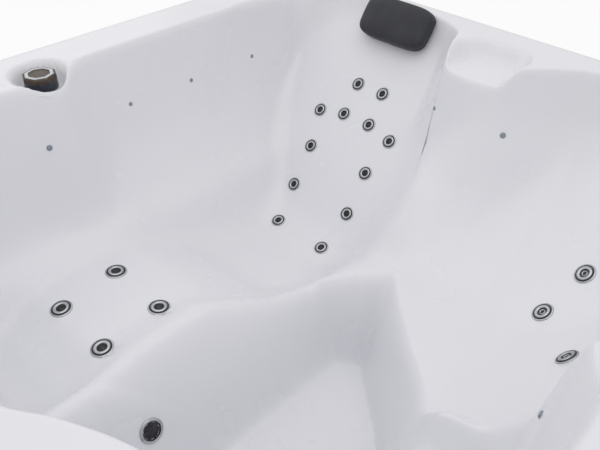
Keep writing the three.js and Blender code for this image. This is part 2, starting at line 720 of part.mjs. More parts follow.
function pumpVolute() {
  const { radius, wall, port } = PUMP;
  const shaftHole = SHAFT.radius + CLEARANCE;
  const casing = solidOf(alongX(turned([
    [0, -half], [radius, -half], [radius, half], [0, half],
  ], 20), pumpX));
  const outletAt = PUMP.b + radius - port;
  const discharge = solidOf(rod(
    at(PUMP.a, outletAt, PUMP.z), at(PUMP.a, outletAt, PUMP.z + 110), port, 12));
  const outlet = solidOf(rod(
    at(PUMP.a, outletAt, PUMP.z), at(PUMP.a, outletAt, PUMP.z + 120), port - 6, 12));
  const hollow = solidOf(alongX(turned([
    [0, -half - 5], [shaftHole, -half - 5], [shaftHole, -half + wall], [radius - wall, -half + wall],
    [radius - wall, half - wall], [port - 4, half - wall], [port - 4, half + 5], [0, half + 5],
  ], 20), pumpX));
  return geometryOf(casing.add(discharge).subtract(hollow).subtract(outlet));
}

function pumpWheel() {
  const { radius, thickness, vanes } = WHEEL;
  const plate = alongX(turned([
    [0, -half - SHAFT.reach], [SHAFT.radius, -half - SHAFT.reach], [SHAFT.radius, -6],
    [radius, -6], [radius, -2], [12, -2], [12, thickness - 6], [0, thickness - 6],
  ], 16), pumpX);
  const blades = Array.from({ length: vanes }, (_, i) => (
    box([-4, 6, -2], [thickness - 8, radius - 6, 2]).rotateX((i * 2 * Math.PI) / vanes).translate(
      pumpX, TUB_LENGTH / 2 - PUMP.b, PUMP.z)));
  return joined([plate, ...blades]);
}

function pumpMotor() {
  const front = -half - CLEARANCE;
  const { radius, length, spread } = MOTOR;
  const bore = SHAFT.radius + CLEARANCE;
  const body = solidOf(alongX(turned([
    [0, front - length], [radius, front - length], [radius, front], [bore, front],
    [bore, front - SHAFT.reach], [0, front - SHAFT.reach],
  ], 16), pumpX));
  const base = solidOf(box(
    [pumpX + front - length + 30, -spread, PAN.thickness + CLEARANCE],
    [pumpX + front - 40, spread, PUMP.z - radius + 12],
  ).translate(0, TUB_LENGTH / 2 - PUMP.b, 0));
  return geometryOf(body.add(base));
}

addPiece('pump_volute', pumpVolute(), FINISH.black);
addPiece('pump_impeller', pumpWheel(), FINISH.black);
addPiece('pump_motor', pumpMotor(), FINISH.motor);

// Heater and control box beside the pump.
const HEATER = { a: 760, from: foot(520), to: foot(300), z: 74, radius: 28 };
const CONTROL_BOX = {
  a: [300, 620], b: [foot(510), foot(360)], height: TUB_HEIGHT - SEAT_DEPTH - 120, lid: 10,
};
const onPan = PAN.thickness + CLEARANCE;
const plan = (a, b) => [a - TUB_WIDTH / 2, TUB_LENGTH / 2 - b];

addPiece('heater_tube', joined([
  rod(at(HEATER.a, HEATER.from, HEATER.z), at(HEATER.a, HEATER.to, HEATER.z), HEATER.radius, 12),
  ...[HEATER.from + 30, HEATER.to - 30].map((b) => {
    const [x, y] = plan(HEATER.a, b);
    return box([x - 30, y - 8, onPan], [x + 30, y + 8, HEATER.z]);
  }),
]), FINISH.steel);

function controlBox() {
  const [x0, y1] = plan(CONTROL_BOX.a[0], CONTROL_BOX.b[0]);
  const [x1, y0] = plan(CONTROL_BOX.a[1], CONTROL_BOX.b[1]);
  const top = onPan + CONTROL_BOX.height;
  const gland = rod(at(CONTROL_BOX.a[0] + 60, CONTROL_BOX.b[1] - 2, onPan + 50),
    at(CONTROL_BOX.a[0] + 60, CONTROL_BOX.b[1] + 24, onPan + 50), 11, 8);
  return joined([
    box([x0, y0, onPan], [x1, y1, top - CONTROL_BOX.lid]),
    box([x0 - 6, y0 - 6, top - CONTROL_BOX.lid - 1], [x1 + 6, y1 + 6, top]),
    gland,
  ]);
}
addPiece('control_box', controlBox(), FINISH.black);

// Star fitting, suction covers, knobs and valves.
function onFace(geometry, { point, normal }) {
  return placed(geometry, point, normal);
}

function whirlFace() {
  const { flange, height } = WHIRL_JET;
  const rays = 7;
  const star = new THREE.Shape(Array.from({ length: rays * 2 }, (_, i) => {
    const radius = flange * (i % 2 ? 0.42 : 0.72);
    const angle = (i * Math.PI) / rays;
    return new THREE.Vector2(radius * Math.cos(angle), radius * Math.sin(angle));
  }));
  const rose = new THREE.ExtrudeGeometry(star, { depth: height - 3, bevelEnabled: false });
  const rim = turned([
    [0, CLEARANCE], [flange, CLEARANCE], [flange, 2], [flange - 5, height - 2],
    [flange * 0.76, height - 2], [flange * 0.76, 3], [0, 3],
  ], 14);
  return joined([rim, rose.translate(0, 0, 2)]);
}
addPiece('whirl_jet_nozzle', onFace(whirlFace(), whirlJet), FINISH.steel);

suctions.forEach((frame, i) => {
  const { flange, height } = SUCTION;
  addPiece(`suction_cover_${i + 1}`, onFace(turned([
    [0, CLEARANCE], [flange, CLEARANCE], [flange, 4], [flange * 0.75, height], [0, height],
  ], 16), frame), FINISH.black);
});

function knob({ radius, height, sides }, recess) {
  const floor = TUB_HEIGHT - recess.depth + CLEARANCE;
  const [x, y] = plan(recess.a, recess.b);
  const skirt = turned([
    [0, floor], [radius, floor], [radius * 0.94, floor + height * 0.6], [0, floor + height * 0.6],
  ], 16);
  const grip = turned([
    [0, floor + height * 0.5], [radius * 0.8, floor + height * 0.5],
    [radius * 0.8, floor + height * 0.9], [radius * 0.66, floor + height], [0, floor + height],
  ], sides);
  return joined([skirt, grip]).translate(x, y, 0);
}

function valveBody({ stem, bodyRadius, bodyDepth }, recess) {
  const [x, y] = plan(recess.a, recess.b);
  const floor = TUB_HEIGHT - recess.depth;
  const under = floor - SHELL_WALL - 8;
  return turned([
    [0, under - bodyDepth], [bodyRadius, under - bodyDepth], [bodyRadius, under], [stem, under],
    [stem, floor - CLEARANCE], [0, floor - CLEARANCE],
  ], 12).translate(x, y, 0);
}
addPiece('diverter_knob', knob(DIVERTER, CONTROL_RECESS), FINISH.pewter);
addPiece('diverter_valve', valveBody(DIVERTER, CONTROL_RECESS), FINISH.pipe);
addPiece('air_control_knob', knob(AIR_KNOB, AIR_RECESS), FINISH.pewter);
addPiece('air_control_valve', valveBody(AIR_KNOB, AIR_RECESS), FINISH.pipe);

// Filter: an open canister hung in the rim, a pleated cartridge under its lid.
const CARTRIDGE = { radius: 54, pleats: 20, pleat: 5, bore: 18, length: 215 };
const filterSeat = TUB_HEIGHT - FILTER_RECESS + CLEARANCE;

function filterCanister() {
  const { bore, wall, depth, flangeWall, lid } = FILTER;
  return turned([
    [0, filterSeat - depth], [bore + wall, filterSeat - depth], [bore + wall, filterSeat],
    [lid - 1, filterSeat], [lid - 1, filterSeat + flangeWall], [bore, filterSeat + flangeWall],
    [bore, filterSeat - depth + wall * 2], [0, filterSeat - depth + wall * 2],
  ], 20);
}

function filterCartridge() {
  const { radius, pleats, pleat, bore, length } = CARTRIDGE;
  const points = Array.from({ length: pleats * 2 }, (_, i) => {
    const r = i % 2 ? radius - pleat : radius;
    const angle = (i * Math.PI) / pleats;
    return new THREE.Vector2(r * Math.cos(angle), r * Math.sin(angle));
  });
  const shape = new THREE.Shape(points);
  shape.holes.push(new THREE.Path().absarc(0, 0, bore, 0, Math.PI * 2));
  const core = new THREE.ExtrudeGeometry(shape, {
    depth: length, bevelEnabled: false, curveSegments: 5,
  });
  return core.translate(0, 0, filterSeat - 20 + FILTER.flangeWall - length);
}

function filterLid() {
  const low = filterSeat + FILTER.flangeWall + CLEARANCE;
  const plate = turned([
    [0, low], [FILTER.lid, low], [FILTER.lid, low + FILTER.lidWall - 1],
    [FILTER.lid - 2, low + FILTER.lidWall], [0, low + FILTER.lidWall],
  ], 20);
  const grip = turned([[0, low - 20], [30, low - 20], [30, low + 1], [0, low + 1]], 10);
  return joined([plate, grip]);
}
const [filterX, filterY] = plan(FILTER.a, FILTER.b);
addPiece('filter_canister', filterCanister().translate(filterX, filterY, 0), FINISH.pipe);
addPiece('filter_cartridge', filterCartridge().translate(filterX, filterY, 0), FINISH.pleats);
addPiece('filter_lid', filterLid().translate(filterX, filterY, 0), FINISH.cabinet);

// Lights at the waterline: the lenses and the cable that joins them are one string.
const STRING_VIA = [
  [], [], [], [at(140, 90, 694), at(870, 90, 694)], [],
  [at(1290, 60, 694), at(right(90), 90, 694), at(right(78), 1130, 694)],
];
function lightString() {
  const lens = turned([
    [0, -LIGHT.length], [LIGHT.stem, -LIGHT.length], [LIGHT.stem, CLEARANCE],
    [LIGHT.lens, CLEARANCE], [LIGHT.lens * 0.6, LIGHT.height], [0, LIGHT.height],
  ], 6);
  const ends = lights.map(({ point, normal }) => (
    point.clone().addScaledVector(normal, CABLE_RADIUS - LIGHT.length)));
  const route = ends.slice(1).flatMap((end, i) => [...STRING_VIA[i], end]);
  return joined([
    ...lights.map((frame) => onFace(lens, frame)),
    ...pipeRun([ends[0], ...route], CABLE_RADIUS),
  ]);
}
addPiece('waterline_light_string', lightString(), FINISH.lens);

// Cabinet: a base pan, four frame sides, corner posts whose flanges meet the ends of the
// frame sides, and boarded panels.
const CABINET_INSET = 12;
const PANEL_WALL = 14;
const GROOVE = { pitch: 132, width: 6, depth: 3 };
const RAIL = { inset: 27, thickness: 18, height: 40 };
const STUD = { width: 40, bays: 4 };
const POST_FLANGE = { wall: 8, depth: 44 };
const cabinetTop = TUB_HEIGHT - LIP_STEP - SHELL_WALL - CLEARANCE;
const lipBottom = TUB_HEIGHT - LIP_DROP - CLEARANCE;
const SIDES = [
  { name: 'head', turn: 0, reach: TUB_LENGTH / 2, half: TUB_WIDTH / 2 - CORNER_RADIUS },
  { name: 'left', turn: 90, reach: TUB_WIDTH / 2, half: TUB_LENGTH / 2 - CORNER_RADIUS },
  { name: 'foot', turn: 180, reach: TUB_LENGTH / 2, half: TUB_WIDTH / 2 - CORNER_RADIUS },
  { name: 'right', turn: 270, reach: TUB_WIDTH / 2, half: TUB_LENGTH / 2 - CORNER_RADIUS },
];
const sideTurn = (degrees) => new THREE.Matrix4().makeRotationZ(THREE.MathUtils.degToRad(degrees));

// Outline of a rounded rectangle at an inset from the rim's outer edge.
function roundedPlan(inset, segments = CORNER_FACETS) {
  const radius = CORNER_RADIUS - inset;
  const points = [];
  for (let corner = 0; corner < 4; corner += 1) {
    const cx = (TUB_WIDTH / 2 - CORNER_RADIUS) * (corner % 3 ? -1 : 1);
    const cy = (TUB_LENGTH / 2 - CORNER_RADIUS) * (corner < 2 ? 1 : -1);
    for (let i = 0; i <= segments; i += 1) {
      const angle = ((corner + i / segments) * Math.PI) / 2;
      points.push(new THREE.Vector2(cx + radius * Math.cos(angle), cy + radius * Math.sin(angle)));
    }
  }
  return points;
}

const upright = (shape, low, high) => new THREE.ExtrudeGeometry(shape, {
  depth: high - low, bevelEnabled: false, curveSegments: CORNER_FACETS,
}).translate(0, 0, low);

function basePan() {
  const plinthTop = TUB_HEIGHT - FOOTWELL_DEPTH - SHELL_WALL - CLEARANCE;
  const [x0, y1] = plan(1110, 1010);
  const [x1, y0] = plan(right(560), foot(310));
  return joined([
    upright(new THREE.Shape(roundedPlan(CABINET_INSET)), 0, PAN.thickness),
    box([x0, y0, PAN.thickness - 1], [x1, y1, plinthTop]),
  ]);
}

// A frame side: rails and studs, as a board with windows.
function frameSide({ turn, reach, half: length }) {
  const end = length - CLEARANCE;
  const face = reach - RAIL.inset;
  const back = face - RAIL.thickness;
  const bay = (end * 2 - STUD.width) / STUD.bays;
  const windows = Array.from({ length: STUD.bays }, (_, i) => solidOf(box(
    [-end + i * bay + STUD.width, back - 5, onPan + RAIL.height],
    [-end + (i + 1) * bay, face + 5, cabinetTop - RAIL.height])));
  const board = solidOf(box([-end, back, onPan], [end, face, cabinetTop]));
  return geometryOf(windows.reduce((side, window) => side.subtract(window), board))
    .applyMatrix4(sideTurn(turn));
}

// A panel: grooved boards, its face towards +Y before it is turned to its side.
function panel({ turn, reach, half: length }, top) {
  const outer = reach - CABINET_INSET;
  const points = [[outer - PANEL_WALL, onPan], [outer, onPan]];
  for (let z = onPan + GROOVE.pitch; z < top - 60; z += GROOVE.pitch) {
    points.push([outer, z - GROOVE.width], [outer - GROOVE.depth, z - GROOVE.width / 2]);
    points.push([outer, z]);
  }
  points.push([outer, top], [outer - PANEL_WALL, top]);
  const width = (length - CLEARANCE) * 2;
  const shape = new THREE.Shape(points.map((point) => new THREE.Vector2(...point)));
  const board = new THREE.ExtrudeGeometry(shape, { depth: width, bevelEnabled: false });
  const stand = new THREE.Matrix4().makeBasis(
    new THREE.Vector3(0, 1, 0), new THREE.Vector3(0, 0, 1), new THREE.Vector3(1, 0, 0));
  return board.applyMatrix4(stand).translate(-width / 2, 0, 0).applyMatrix4(sideTurn(turn));
}

// A corner post: a quarter round with a flange at each end, centred on the corner's middle.
function cornerPost(turn) {
  const outer = CORNER_RADIUS - CABINET_INSET - 3;
  const inner = outer - PANEL_WALL;
  const { wall, depth } = POST_FLANGE;
  const shape = new THREE.Shape();
  shape.moveTo(outer, 0);
  shape.absarc(0, 0, outer, 0, Math.PI / 2);
  shape.lineTo(0, inner - depth);
  shape.lineTo(wall, inner - depth);
  const turnIn = Math.asin(wall / inner);
  shape.absarc(0, 0, inner, Math.PI / 2 - turnIn, turnIn, true);
  shape.lineTo(inner - depth, wall);
  shape.lineTo(inner - depth, 0);
  const post = upright(shape, onPan, cabinetTop);
  const odd = turn % 180 !== 0;
  const cx = (odd ? TUB_LENGTH : TUB_WIDTH) / 2 - CORNER_RADIUS;
  const cy = (odd ? TUB_WIDTH : TUB_LENGTH) / 2 - CORNER_RADIUS;
  return post.translate(cx, cy, 0).applyMatrix4(sideTurn(turn));
}

addPiece('base_pan', basePan(), FINISH.pan);
SIDES.forEach((side) => {
  addPiece(`frame_${side.name}`, frameSide(side), FINISH.frame);
  if (side.name !== 'foot') addPiece(`panel_${side.name}`, panel(side, cabinetTop), FINISH.cabinet);
});
addPiece('access_panel', panel(SIDES[2], lipBottom), FINISH.cabinet);
['head_right', 'head_left', 'foot_left', 'foot_right'].forEach((name, i) => {
  addPiece(`corner_post_${name}`, cornerPost(i * 90), FINISH.pan);
});

// Drain at the side: a fitting through the panel and its cap.
const DRAIN = { y: 300 - TUB_LENGTH / 2, z: 100, tube: 16, bore: 11, flange: 26, reach: 90, cap: 24 };
const sidewards = new THREE.Vector3(-1, 0, 0);
const drainPoint = new THREE.Vector3(CABINET_INSET - TUB_WIDTH / 2, DRAIN.y, DRAIN.z);
const { tube, bore, flange, reach } = DRAIN;
addPiece('drain_fitting', placed(turned([
  [bore, -reach], [tube, -reach], [tube, CLEARANCE], [flange, CLEARANCE], [flange, 3], [bore, 3],
  [bore, -reach],
], 14), drainPoint, sidewards), FINISH.black);
addPiece('drain_cap', placed(turned([
  [0, -10], [bore - CLEARANCE, -10], [bore - CLEARANCE, 3 + CLEARANCE],
  [DRAIN.cap, 3 + CLEARANCE], [DRAIN.cap, 9], [DRAIN.cap - 3, 11], [0, 11],
], 14), drainPoint, sidewards), FINISH.black);
const drained = tub.getObjectByName('panel_left');
drained.geometry = geometryOf(solidOf(drained.geometry).subtract(solidOf(rod(
  drainPoint.clone().addScaledVector(sidewards, -40),
  drainPoint.clone().addScaledVector(sidewards, 20), tube + CLEARANCE, 14))));

// Head pillow: a soft pad whose outline is a rounded oblong, crowned in front and drawn in at
// its sides, lying on the lounger's back.
const PILLOW = { a: 600, b: 98, width: 285, length: 150, thickness: 62, sides: 40 };
const PILLOW_ROWS = [
  [0.5, 0.02], [0.84, 0], [0.95, 0.06], [1, 0.2], [0.985, 0.4], [0.99, 0.55], [0.95, 0.74],
  [0.85, 0.89], [0.64, 0.97], [0.34, 1],
];

function headPillow() {
  const { point, normal } = frameAt(PILLOW.a, PILLOW.b);
  const across = new THREE.Vector3(1, 0, 0);
  const up = new THREE.Vector3().crossVectors(normal, across);
  const spot = (x, y, z) => point.clone().addScaledVector(across, x).addScaledVector(up, y)
    .addScaledVector(normal, z);
  const power = (value) => Math.sign(value) * Math.abs(value) ** 0.45;
  const rows = PILLOW_ROWS.map(([scale, lift]) => Array.from({ length: PILLOW.sides }, (_, i) => {
    const angle = (i * 2 * Math.PI) / PILLOW.sides;
    return spot((power(Math.cos(angle)) * scale * PILLOW.width) / 2,
      (power(Math.sin(angle)) * scale * PILLOW.length) / 2, lift * PILLOW.thickness);
  }));
  rows.unshift([spot(0, 0, 0.02 * PILLOW.thickness)]);
  rows.push([spot(0, 0, PILLOW.thickness * 1.01)]);
  const sunk = rows.flat().map((p) => {
    const surface = TUB_HEIGHT - depthAt(p.x + TUB_WIDTH / 2, TUB_LENGTH / 2 - p.y);
    return (surface - p.z) * normal.z;
  });
  const lift = Math.max(...sunk) + CLEARANCE;
  const positions = rows.flat().flatMap((p) => p.addScaledVector(normal, lift).toArray());
  const n = PILLOW.sides;
  const index = [];
  const last = 1 + PILLOW_ROWS.length * n;
  for (let i = 0; i < n; i += 1) {
    const next = (i + 1) % n;
    index.push(0, 1 + next, 1 + i);
    for (let row = 0; row < PILLOW_ROWS.length - 1; row += 1) {
      const low = 1 + row * n;
      index.push(low + i, low + next, low + n + next, low + i, low + n + next, low + n + i);
    }
    index.push(last - n + i, last - n + next, last);
  }
  const geometry = new THREE.BufferGeometry();
  geometry.setAttribute('position', new THREE.Float32BufferAttribute(positions, 3));
  return geometry.setIndex(index);
}
addPiece('head_pillow', headPillow(), FINISH.pillow);

export default tub;
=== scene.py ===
"""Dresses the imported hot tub: a moulded acrylic shell, its fittings, the cabinet and the plant.

Plan places are (a, b) in millimetres: a from the left outer edge of the rim, b from its head
outer edge. Depths are measured down from the top of the rim.
"""
import json
import logging
import math
from collections.abc import Callable, Sequence
from dataclasses import dataclass, field
from enum import Enum

import bpy
import numpy as np
from mathutils import Matrix, Vector

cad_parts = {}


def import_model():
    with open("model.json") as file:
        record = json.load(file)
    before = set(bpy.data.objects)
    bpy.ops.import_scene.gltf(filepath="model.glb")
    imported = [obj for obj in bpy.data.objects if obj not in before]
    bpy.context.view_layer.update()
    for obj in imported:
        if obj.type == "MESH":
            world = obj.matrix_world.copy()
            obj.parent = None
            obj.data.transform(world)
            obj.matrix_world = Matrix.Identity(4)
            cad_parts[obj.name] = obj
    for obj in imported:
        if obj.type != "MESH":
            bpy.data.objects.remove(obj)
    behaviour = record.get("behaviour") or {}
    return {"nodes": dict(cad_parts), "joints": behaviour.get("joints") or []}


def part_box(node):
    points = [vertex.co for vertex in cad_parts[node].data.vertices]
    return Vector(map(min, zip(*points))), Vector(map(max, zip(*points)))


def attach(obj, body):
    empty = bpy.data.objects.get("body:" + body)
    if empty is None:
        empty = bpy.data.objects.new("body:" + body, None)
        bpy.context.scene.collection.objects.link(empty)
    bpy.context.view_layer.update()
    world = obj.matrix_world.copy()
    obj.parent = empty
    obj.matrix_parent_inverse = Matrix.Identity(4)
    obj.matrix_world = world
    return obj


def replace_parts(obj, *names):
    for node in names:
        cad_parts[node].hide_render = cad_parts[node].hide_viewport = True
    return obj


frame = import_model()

LOG = logging.getLogger("hot_tub")
MM = 0.001
Array = np.ndarray


# Smooth maths of the shell's form.
def soft_min(x: Array, y: Array, k: float) -> Array:
    """The lower of two surfaces, with their edge rounded over a band k deep.

    The two are mixed by h = 0.5 + (y - x) / 2k held to 0..1, less k h (1 - h).

    Args:
        x: First surface.
        y: Second surface.
        k: Depth of the rounding.

    Returns:
        The rounded minimum, as an array.
    """
    h = np.clip(0.5 + 0.5 * (np.asarray(y) - x) / k, 0, 1)
    return np.asarray(y) + (np.asarray(x) - y) * h - k * h * (1 - h)


def soft_max(x: Array, y: Array, k: float) -> Array:
    """The higher of two surfaces, rounded as soft_min rounds the lower one."""
    return -soft_min(-np.asarray(x), -np.asarray(y), k)


def soft_ramp(x: Array, k: float) -> Array:
    """Zero below -k, x above k, and the parabola (x + k) squared over 4k between them."""
    return np.where(x <= -k, 0.0, np.where(x >= k, x, (x + k) ** 2 / (4 * k)))


class SmoothCurve:
    """A curve through points with rising first values that never overshoots its points."""

    def __init__(self, points: Sequence[tuple[float, float]]) -> None:
        """Works out the tangents: the harmonic mean of the two slopes, or zero at a turn.

        Args:
            points: (position, value) pairs.
        """
        self.x, self.y = np.array(points, float).T
        slope = np.diff(self.y) / np.diff(self.x)
        before, after = slope[:-1], slope[1:]
        product = before * after
        total = np.where(product > 0, before + after, 1)
        inner = np.where(product > 0, 2 * product / total, 0)
        self.tangent = np.concatenate([slope[:1], inner, slope[-1:]])

    def __call__(self, x: Array) -> Array:
        """Cubic between two points, and straight on beyond the ends."""
        x = np.asarray(x, float)
        i = np.clip(np.searchsorted(self.x, x) - 1, 0, len(self.x) - 2)
        width = self.x[i + 1] - self.x[i]
        t = (x - self.x[i]) / width
        s = t * t * (3 - 2 * t)
        bend = (1 - t) * self.tangent[i] - t * self.tangent[i + 1]
        inside = self.y[i] + (self.y[i + 1] - self.y[i]) * s + width * t * (1 - t) * bend
        low = self.y[0] + (x - self.x[0]) * self.tangent[0]
        high = self.y[-1] + (x - self.x[-1]) * self.tangent[-1]
        return np.where(x <= self.x[0], low, np.where(x >= self.x[-1], high, inside))


def closed_spline(points: Sequence[tuple[float, float]], pitch: float) -> Array:
    """Samples a closed centripetal spline through the points about every pitch.

    Each stretch is a cubic whose end slopes follow the neighbouring points, weighted by the
    square roots of their distances.

    Args:
        points: Corner points of the loop.
        pitch: Rough distance between samples.

    Returns:
        The samples as an (n, 2) array.
    """
    p1 = np.array(points, float)
    p0, p2, p3 = np.roll(p1, 1, 0), np.roll(p1, -1, 0), np.roll(p1, -2, 0)
    step = [np.sqrt(np.linalg.norm(q - p, axis=1))[:, None] for p, q in ((p0, p1), (p1, p2), (p2, p3))]
    d0, d1, d2 = step
    start = d1 * ((p1 - p0) / d0 - (p2 - p0) / (d0 + d1) + (p2 - p1) / d1)
    end = d1 * ((p2 - p1) / d1 - (p3 - p1) / (d1 + d2) + (p3 - p2) / d2)
    counts = np.maximum(1, np.round(np.linalg.norm(p2 - p1, axis=1) / pitch)).astype(int)
    stretch = np.repeat(np.arange(len(p1)), counts)
    t = np.concatenate([np.arange(n) / n for n in counts])[:, None]
    a, b, u, v = p1[stretch], p2[stretch], start[stretch], end[stretch]
    return a + u * t + (3 * (b - a) - 2 * u - v) * t**2 + (2 * (a - b) + u + v) * t**3


@dataclass(frozen=True)
class Rounded:
    """A rounded oblong in plan: its middle, half sizes, corner radius and depth."""

    a: float
    b: float
    half_width: float
    half_depth: float
    corner: float
    depth: float = 0.0

    def inside(self, a: Array, b: Array) -> Array:
        """How far a point lies inside the outline, negative outside it."""
        da = np.abs(a - self.a) - self.half_width + self.corner
        db = np.abs(b - self.b) - self.half_depth + self.corner
        out = np.hypot(np.maximum(da, 0), np.maximum(db, 0))
        return self.corner - out - np.minimum(np.maximum(da, db), 0)


@dataclass(frozen=True)
class Recess:
    """A round recess in the rim: its middle, radius and depth."""

    a: float
    b: float
    radius: float
    depth: float

    def depth_at(self, a: Array, b: Array) -> Array:
        """A flat floor with sides that rise 2.2 for each 1 outwards."""
        side = 2.2 * (self.radius - np.hypot(a - self.a, b - self.b))
        return soft_min(self.depth, side, 16)


WIDTH = 2000.0
LENGTH = 2000.0
HEIGHT = 880.0
CORNER = 160.0
WALL = 14.0


def right(inset: float) -> float:
    """Plan position of a point at an inset from the right edge."""
    return WIDTH - inset


def foot(inset: float) -> float:
    """Plan position of a point at an inset from the foot edge."""
    return LENGTH - inset


RIM_INNER_EDGE = [
    (163, 330), (163, 640), (163, 900), (170, 1090), (205, 1175), (236, 1240), (226, 1320),
    (214, 1420), (216, foot(380)), (270, foot(190)), (450, foot(120)), (820, foot(115)),
    (right(820), foot(120)), (right(700), foot(185)), (right(580), foot(235)),
    (right(450), foot(255)), (right(320), foot(210)), (right(190), foot(150)),
    (right(125), foot(240)), (right(112), foot(440)), (right(122), foot(700)), (right(130), 1095),
    (right(112), 880), (right(96), 640), (right(98), 380), (right(150), 180), (right(300), 105),
    (right(550), 88),
    (1320, 92), (1240, 140), (1165, 210), (1100, 268), (1008, 288), (922, 264), (872, 190),
    (838, 112), (770, 74), (600, 64), (400, 68), (245, 120), (178, 215),
]
LOUNGER_ALONG = [
    (60, 10), (120, 92), (256, 250), (450, 445), (620, 615), (740, 662), (900, 645),
    (1080, 560), (1200, 512), (1350, 500), (1500, 508), (1620, 556), (1730, 590), (1800, 500),
    (1880, 120),
]
LOUNGER_ACROSS = [
    (163, 0), (200, 190), (330, 425), (400, 492), (470, 600), (560, 680), (760, 700), (2000, 700),
]
RIDGE = [
    (920, 200, 110), (960, 300, 190), (1000, 380, 270), (1030, 500, 360), (1040, 600, 440),
    (1022, 700, 515), (992, 850, 528), (980, 1000, 500), (920, 1115, 488), (868, 1250, 455),
    (877, 1420, 448), (912, 1590, 450), (930, 1780, 440),
]
SEAT_WALL = [
    (0, 0), (28, 95), (75, 195), (180, 350), (290, 450), (410, 520), (560, 552), (900, 560),
]
ARM_CREST = [
    (1480, 500), (1560, 410), (1680, 372), (1732, 300), (1756, 200), (1774, 100), (1800, 0),
    (1900, -200),
]
FOOTWELL_SIDES = [
    ((1052, 1100), (-1, 0.02), 2.3),
    ((1100, 872), (-0.55, -0.835), 3.2),
    ((1243, 948), (0.65, -0.76), 4.4),
    ((1375, 1066), (0.82, -0.57), 4.4),
    ((1475, 1290), (0.99, -0.1), 4),
    ((1455, 1560), (0.93, 0.36), 4),
    ((1250, foot(290)), (0, 1), 2.6),
]
MIDDLE = np.array([1235.0, 1210.0])
KNOB_RECESS = Recess(172, 1240, 84, 50)
AIR_RECESS = Recess(118, 1408, 58, 12)
FILTER_RECESS = Recess(150, foot(150), 86, 16)


